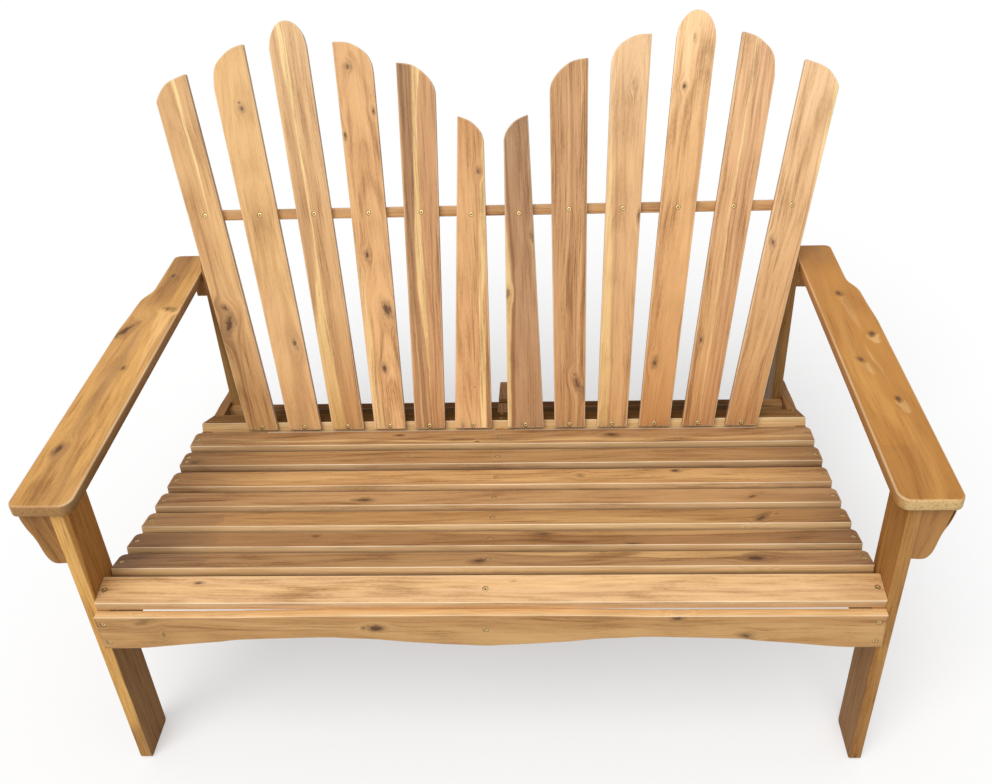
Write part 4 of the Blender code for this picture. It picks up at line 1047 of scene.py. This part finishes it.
def acacia(name, seed, look, colours):
    """Planed and oiled acacia, one board's own figure.

    Planing shows the grain as long, slightly wandering lines: growth rings cut lengthwise, about 9 mm and
    2.4 mm apart, fibres of 2 mm, and pores as dashes of 9 by 1.3 mm, both drawn coarser than real ones so
    that they show. Oil leaves a satin sheen that is uneven with the fibres. Sapwood runs through as pale
    streaks, and knots bend the lines round them.
    """
    material, tree = new_material(name)
    heart = np.array(getattr(colours, look["heart"])) * look["shade"]
    core = np.array(colours.knot)
    grain = add(tree, "Attribute", out="Vector", attribute_name="grain")
    place = add(tree, "VectorMath", {0: grain, 1: [step * seed for step in SEED_STEPS]})
    u, v, w = add(tree, "SeparateXYZ", {0: grain}, out=slice(None))

    # The lines that the figure follows
    short_wave = grain_pattern(tree, place, *SHORT_WAVE)
    line = grain_pattern(tree, place, *LONG_WAVE)
    line = add(tree, "Math", {0: line, 1: WANDER * look["wander"], 2: v}, operation="MULTIPLY_ADD")
    line = add(tree, "Math", {0: line, 1: WANDER * look["wander"] / 2}, operation="SUBTRACT")
    cracks = grain_pattern(tree, place, *CRACKS)
    uneven = add(tree, "Math", {0: cracks, 1: CRACK_WEIGHT, 2: short_wave}, operation="MULTIPLY_ADD")
    flat = add(tree, "CombineXYZ", {0: u, 1: v})
    line, knot = knotted_grain(tree, flat, line, look["knots"], uneven)
    jitter = add(tree, "Math", {0: short_wave, 1: JITTER, 2: line}, operation="MULTIPLY_ADD")

    # Growth rings round the pith, fibres, pores and mottling, summed to one tone
    depth = add(tree, "Math", {0: u, 1: look["taper"], 2: w}, operation="MULTIPLY_ADD")
    pith = (look["pith"][0] * MM, -look["pith"][1] * MM, 0)
    ring = add(tree, "CombineXYZ", {0: jitter, 1: depth})
    ring = add(tree, "VectorMath", {0: ring, 1: pith}, operation="SUBTRACT")
    ring = add(tree, "VectorMath", {0: ring}, out="Value", operation="LENGTH")
    figure = add(tree, "Math", {0: u, 1: RING_STRETCH, 2: FIGURE_STEPS[0] * seed}, operation="MULTIPLY_ADD")
    figure = add(tree, "CombineXYZ", {0: ring, 1: figure, 2: FIGURE_STEPS[1] * seed})
    broad = add(tree, "TexNoise", {"Vector": figure, **BROAD_RINGS})
    fine = add(tree, "TexNoise", {"Vector": figure, **FINE_RINGS})
    along_line = add(tree, "CombineXYZ", {0: u, 1: line, 2: w})
    fibre = grain_pattern(tree, along_line, *FIBRES, start=(seed, 0, 0))
    pores = grain_pattern(tree, along_line, *PORES, start=(0, seed, 0))
    mottle = grain_pattern(tree, place, *MOTTLE)
    tone = broad
    layers = ((fine, FINE_WEIGHT), (fibre, FIBRE_WEIGHT), (mottle, MOTTLE_WEIGHT), (pores, PORE_WEIGHT))
    for layer, weight in layers:
        tone = add(tree, "Math", {0: layer, 1: weight, 2: tone}, operation="MULTIPLY_ADD")
    spread = TONE_SPREAD / look["contrast"]
    tone = add(tree, "MapRange", {0: tone, 1: MIDDLE_TONE - spread, 2: MIDDLE_TONE + spread})
    colour = add(tree, "ValToRGB", {"Fac": tone}, stops=tinted(heart, RING_TONES))

    # Streaks, knots and the painted shade along the board
    u_share = add(tree, "MapRange", {0: u, 1: -REACH, 2: REACH})
    v_share = add(tree, "MapRange", {0: jitter, 1: -SPREAD, 2: SPREAD})
    for kind, strength, softness, *rows in look["streaks"]:
        share = streak_share(tree, u_share, v_share, rows, softness)
        full = add(tree, "MapRange", {0: fibre, **STREAK_FIBRES, 3: STREAK_SHARE * strength, 4: strength})
        share = add(tree, "Math", {0: share, 1: full}, operation="MULTIPLY")
        tint = {0: share, 6: colour, 7: (*(np.array(getattr(colours, kind)) / heart), 1)}
        colour = add(tree, "Mix", tint, out=2, data_type="RGBA", blend_type="MULTIPLY")
    if knot is not None:
        stops = tinted(core, KNOT_CORE_TONES) + tinted(heart, KNOT_RING_TONES)
        rings = add(tree, "ValToRGB", {"Fac": knot}, stops=stops)
        share = add(tree, "MapRange", {0: knot, **KNOT_COVER}, interpolation_type="SMOOTHSTEP")
        colour = add(tree, "Mix", {0: share, 6: colour, 7: rings}, out=2, data_type="RGBA")
    # Painted shade along the board, where the seat, the arms and the back slats shade it
    warmth = np.array(look["warmth"])
    stops = [((row * MM + REACH) / (2 * REACH), share**warmth) for row, share in look["painted_shade_along"]]
    painted_shade_along = add(tree, "ValToRGB", {"Fac": u_share}, stops=stops)
    tint = {0: 1.0, 6: colour, 7: painted_shade_along}
    colour = add(tree, "Mix", tint, out=2, data_type="RGBA", blend_type="MULTIPLY")

    # What lies on the edges, the end grain and the screw holes, each over what is before it: painted light on
    # the front faces, painted shade with some dirt low on them, pale edges of wear and painted highlight, the
    # end grain, and painted shade in the screw holes
    # The paler front faces are painted light
    pale = add(tree, "ValToRGB", {"Fac": fibre}, stops=tinted(colours.light, BROW_TONES))
    # Painted shade with some dirt, darker low on the front faces
    shade_and_dirt, foot, top = look["crevice"]
    low = add(tree, "MapRange", {0: w, 1: foot * MM, 2: top * MM, 3: shade_and_dirt, 4: 0.0})
    wear_and_highlight_amount = add(tree, "MapRange", {0: mottle, **WEAR_AND_HIGHLIGHT_PATCHES, 3: WEAR_AND_HIGHLIGHT_SHARE * look["wear_and_highlight"], 4: look["wear_and_highlight"]})
    cut = np.array(getattr(colours, look["cut"])) * look["end"]
    tubes = add(tree, "TexNoise", {"Vector": grain, **END_TUBES})
    tubes = add(tree, "ValToRGB", {"Fac": tubes}, stops=tinted(cut, TUBE_TONES))
    covers = (
        ("brow", look["brow"], pale),
        ("brow", low, (*(core * SHADE_AND_DIRT_SHARE), 1)),
        ("edge", wear_and_highlight_amount, (*colours.wear_and_highlight, 1)),
        ("end", END_SHARE, tubes),
        ("hole_shade", HOLE_SHADE_SHARE, (*core, 1)),
    )
    for mark, amount, cover in covers:
        share = add(tree, "Attribute", out="Fac", attribute_name=mark)
        share = add(tree, "Math", {0: share, 1: amount}, operation="MULTIPLY")
        colour = add(tree, "Mix", {0: share, 6: colour, 7: cover}, out=2, data_type="RGBA")
    finish = {
        "Base Color": colour,
        "Roughness": add(tree, "MapRange", {0: fibre, **OIL_ROUGHNESS}),
        "Normal": add(tree, "Bump", {"Height": fibre, **FIBRE_RELIEF}),
        "IOR": OIL_IOR,
        "Specular IOR Level": look["sheen"],
    }
    add(tree, "OutputMaterial", {"Surface": add(tree, "BsdfPrincipled", finish)})
    return material


def dress_board(context, name, radius, chamfer=0.0, normal=None, back_radius=None, wear_and_highlight_side=None):
    """Makes the finished board that stands for a CAD board, and tells where its screws' heads lie."""
    board = read_board(name, chamfer, normal)
    shape, marks = board_mesh(board, radius, radius if back_radius is None else back_radius, wear_and_highlight_side)
    placed = {**shape, "points": shape["points"] @ board["basis"] + board["centre"]}
    piece = make_object(name + "_finished", placed, marks)
    grain = piece.data.attributes.new("grain", "FLOAT_VECTOR", "POINT")
    grain.data.foreach_set("vector", shape["points"].ravel())
    family = name.rsplit("_", 1)[0]
    look = {**LOOK, **FAMILY_LOOKS.get(family, {}), **LOOKS.get(name, {})}
    seed = 1 + sorted(frame["nodes"]).index(name)
    piece.data.materials.append(acacia("oiled_acacia_" + name, seed, look, context.scene.loveseat_colours))
    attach(piece, "root")
    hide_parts(name)
    spots = []
    for side, u, v in board["mouths"]:
        centre = np.array([u, v, side * board["half"]]) @ board["basis"] + board["centre"]
        spots.append((centre, -side * board["basis"][2]))
    return spots


class LOVESEAT_OT_back_slats(bpy.types.Operator):
    """Makes the fan of twelve back slats and their screws"""

    bl_idname = "loveseat.back_slats"
    bl_label = "Back slats"

    def execute(self, context):
        spots = []
        for number in range(1, BACK_SLATS + 1):
            radius = context.scene.loveseat_sizes.slat_edge
            spots += dress_board(context, f"back_slat_{number}", radius, CAD_CHAMFER)
        screws = set_screws(context, "back_slat_screws", spots, SLAT_SCREW_LENGTH)
        return {"FINISHED"}


class LOVESEAT_OT_seat_slats(bpy.types.Operator):
    """Makes the eight seat slats and their screws"""

    bl_idname = "loveseat.seat_slats"
    bl_label = "Seat slats"

    def execute(self, context):
        sizes = context.scene.loveseat_sizes
        edges = {"chamfer": CAD_CHAMFER, "back_radius": sizes.hidden_edge, "wear_and_highlight_side": SEAT_FRONT}
        spots = []
        for number in range(1, SEAT_SLATS + 1):
            spots += dress_board(context, f"seat_slat_{number}", sizes.seat_edge, **edges)
        screws = set_screws(context, "seat_slat_screws", spots, SLAT_SCREW_LENGTH)
        return {"FINISHED"}


class LOVESEAT_OT_front(bpy.types.Operator):
    """Makes the apron, the legs, the arms and their brackets"""

    bl_idname = "loveseat.front"
    bl_label = "Front and arms"

    def execute(self, context):
        sizes = context.scene.loveseat_sizes
        edges = {"chamfer": CAD_CHAMFER, "back_radius": sizes.hidden_edge, "wear_and_highlight_side": APRON_TOP}
        dress_board(context, "front_apron", sizes.seat_edge, **edges)
        for side, wear_and_highlight_side in ARM_SIDES:
            dress_board(context, f"front_leg_{side}", sizes.seat_edge, CAD_CHAMFER)
            dress_board(context, f"arm_{side}", sizes.arm_edge, CAD_CHAMFER, wear_and_highlight_side=wear_and_highlight_side)
            dress_board(context, f"arm_bracket_{side}", sizes.frame_edge)
        return {"FINISHED"}


class LOVESEAT_OT_frame(bpy.types.Operator):
    """Makes the stringers, rails, stretcher, posts and cleats"""

    bl_idname = "loveseat.frame"
    bl_label = "Frame"

    def execute(self, context):
        sizes = context.scene.loveseat_sizes
        radius = sizes.frame_edge
        for side in ("left", "right"):
            dress_board(context, f"seat_stringer_{side}", radius)
            dress_board(context, f"rear_post_{side}", radius)
            dress_board(context, f"rear_arm_cleat_{side}", radius)
        dress_board(context, "seat_stringer_centre", radius)
        dress_board(context, "lower_back_rail", radius, back_radius=sizes.hidden_edge, wear_and_highlight_side=SEAT_FRONT)
        dress_board(context, "upper_back_rail", radius)
        dress_board(context, "rear_stretcher", radius, normal=(0, 0, 1))
        return {"FINISHED"}


class LOVESEAT_OT_frame_screws(bpy.types.Operator):
    """Makes the screws of the apron, the rails, the stretcher, the legs and the posts"""

    bl_idname = "loveseat.frame_screws"
    bl_label = "Frame screws"

    def execute(self, context):
        for name in frame["nodes"]:
            if "screw" in name:
                centre, into, reach = read_screw(name)
                piece = set_screws(context, name + "_finished", [(centre, into)], reach)
                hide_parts(name)
        return {"FINISHED"}


class LOVESEAT_OT_stage(bpy.types.Operator):
    """Makes the floor, the light and the camera"""

    bl_idname = "loveseat.stage"
    bl_label = "Stage"

    def execute(self, context):
        scene = context.scene
        scene.view_settings.view_transform = "Standard"
        make_floor(scene)
        make_light(scene)
        place_camera(scene)
        return {"FINISHED"}


def seen_share(tree):
    """One where the camera sees the surface itself, in a mirror or through glass, and zero for its light."""
    camera, glossy, glass = (
        add(tree, "LightPath", out=f"Is {kind} Ray") for kind in ("Camera", "Glossy", "Transmission")
    )
    seen = add(tree, "Math", {0: camera, 1: glossy}, operation="MAXIMUM")
    return add(tree, "Math", {0: seen, 1: glass}, operation="MAXIMUM")


def make_floor(scene):
    """A plain floor that shows a soft shadow, and gives back less light than a white one would."""
    stage = scene.loveseat_stage
    corners = np.array([(-1, -1, 0), (1, -1, 0), (1, 1, 0), (-1, 1, 0)]) * FLOOR_REACH
    mesh = bpy.data.meshes.new("floor")
    mesh.from_pydata(corners.tolist(), [], [(0, 1, 2, 3)])
    floor = bpy.data.objects.new("floor", mesh)
    scene.collection.objects.link(floor)
    material, tree = new_material("matt_white_floor")
    white = np.array(scene.loveseat_colours.floor)
    paint = add(tree, "BsdfDiffuse", {"Color": (*white, 1)})
    glow = add(tree, "Emission", {"Color": (*white, 1), "Strength": 1.0})
    shown = add(tree, "MixShader", {0: stage.shadow, 1: glow, 2: paint})
    dull = add(tree, "BsdfDiffuse", {"Color": (*(white * stage.bounce), 1)})
    shader = add(tree, "MixShader", {0: seen_share(tree), 1: dull, 2: shown})
    add(tree, "OutputMaterial", {"Surface": shader})
    mesh.materials.append(material)


def make_light(scene):
    """A sky that is brighter above, white where it is seen, and a soft lamp from the front left."""
    stage = scene.loveseat_stage
    world = bpy.data.worlds.new("soft_sky")
    scene.world = world
    world.use_nodes = True
    tree = world.node_tree
    tree.nodes.clear()
    direction = add(tree, "TexCoord", out="Generated")
    height = add(tree, "SeparateXYZ", {0: direction}, out="Z")
    strength = add(tree, "MapRange", {0: height, 1: 0.0, 2: SKY_HEIGHT, 3: stage.horizon, 4: stage.sky})
    strength = add(tree, "Mix", {0: seen_share(tree), 2: strength, 3: 1.0}, data_type="FLOAT")
    sky = add(tree, "Background", {"Color": (1, 1, 1, 1), "Strength": strength})
    add(tree, "OutputWorld", {"Surface": sky})
    lamp = bpy.data.lights.new("soft_lamp", "SUN")
    lamp.energy = stage.lamp
    lamp.angle = math.radians(LAMP_ANGLE)
    sun = bpy.data.objects.new("soft_lamp", lamp)
    sun.rotation_mode = "QUATERNION"
    sun.rotation_quaternion = Vector(LAMP_DIRECTION).to_track_quat("-Z", "Y")
    scene.collection.objects.link(sun)


def place_camera(scene):
    """The camera, turned by yaw, pitch and roll as the photograph was taken."""
    yaw, pitch, roll = (math.radians(angle) for angle in CAMERA_YAW_PITCH_ROLL)
    forward = Vector((math.sin(yaw) * math.cos(pitch), math.cos(yaw) * math.cos(pitch), -math.sin(pitch)))
    right = Vector((math.cos(yaw), -math.sin(yaw), 0))
    upward = right.cross(forward)
    turned_right = right * math.cos(roll) + upward * math.sin(roll)
    turned_up = upward * math.cos(roll) - right * math.sin(roll)
    camera = bpy.data.cameras.new("camera")
    camera.lens = FOCAL_PIXELS * camera.sensor_width / IMAGE_WIDTH
    camera.shift_x = (IMAGE_WIDTH / 2 - LENS_MIDDLE[0]) / IMAGE_WIDTH
    camera.shift_y = (LENS_MIDDLE[1] - IMAGE_HEIGHT / 2) / IMAGE_WIDTH
    viewer = bpy.data.objects.new("camera", camera)
    turn = Matrix((turned_right, turned_up, -forward)).transposed().to_4x4()
    turn.translation = CAMERA_PLACE
    viewer.matrix_world = turn
    scene.collection.objects.link(viewer)
    scene.camera = viewer


class LOVESEAT_PT_pieces(bpy.types.Panel):
    """Lists the pieces of the loveseat"""

    bl_idname = "LOVESEAT_PT_pieces"
    bl_label = "Loveseat"
    bl_space_type = "VIEW_3D"
    bl_region_type = "UI"
    bl_category = "Loveseat"

    def draw(self, context):
        for operator in OPERATORS:
            self.layout.operator(operator.bl_idname)


OPERATORS = (
    LOVESEAT_OT_stage,
    LOVESEAT_OT_back_slats,
    LOVESEAT_OT_seat_slats,
    LOVESEAT_OT_front,
    LOVESEAT_OT_frame,
    LOVESEAT_OT_frame_screws,
)
GROUPS = (
    ("loveseat_sizes", LoveseatSizes),
    ("loveseat_colours", LoveseatColours),
    ("loveseat_stage", LoveseatStage),
)


def register():
    """Registers the settings, the operators and the panel."""
    for key, group in GROUPS:
        bpy.utils.register_class(group)
        setattr(bpy.types.Scene, key, PointerProperty(type=group))
    for kind in (*OPERATORS, LOVESEAT_PT_pieces):
        bpy.utils.register_class(kind)


def unregister():
    """Takes them out again, last first."""
    for kind in (LOVESEAT_PT_pieces, *reversed(OPERATORS)):
        bpy.utils.unregister_class(kind)
    for key, group in reversed(GROUPS):
        delattr(bpy.types.Scene, key)
        bpy.utils.unregister_class(group)


def main():
    """Makes the whole loveseat."""
    register()
    for operator in OPERATORS:
        family, verb = operator.bl_idname.split(".")
        getattr(getattr(bpy.ops, family), verb)()


if __name__ == "__main__":
    main()
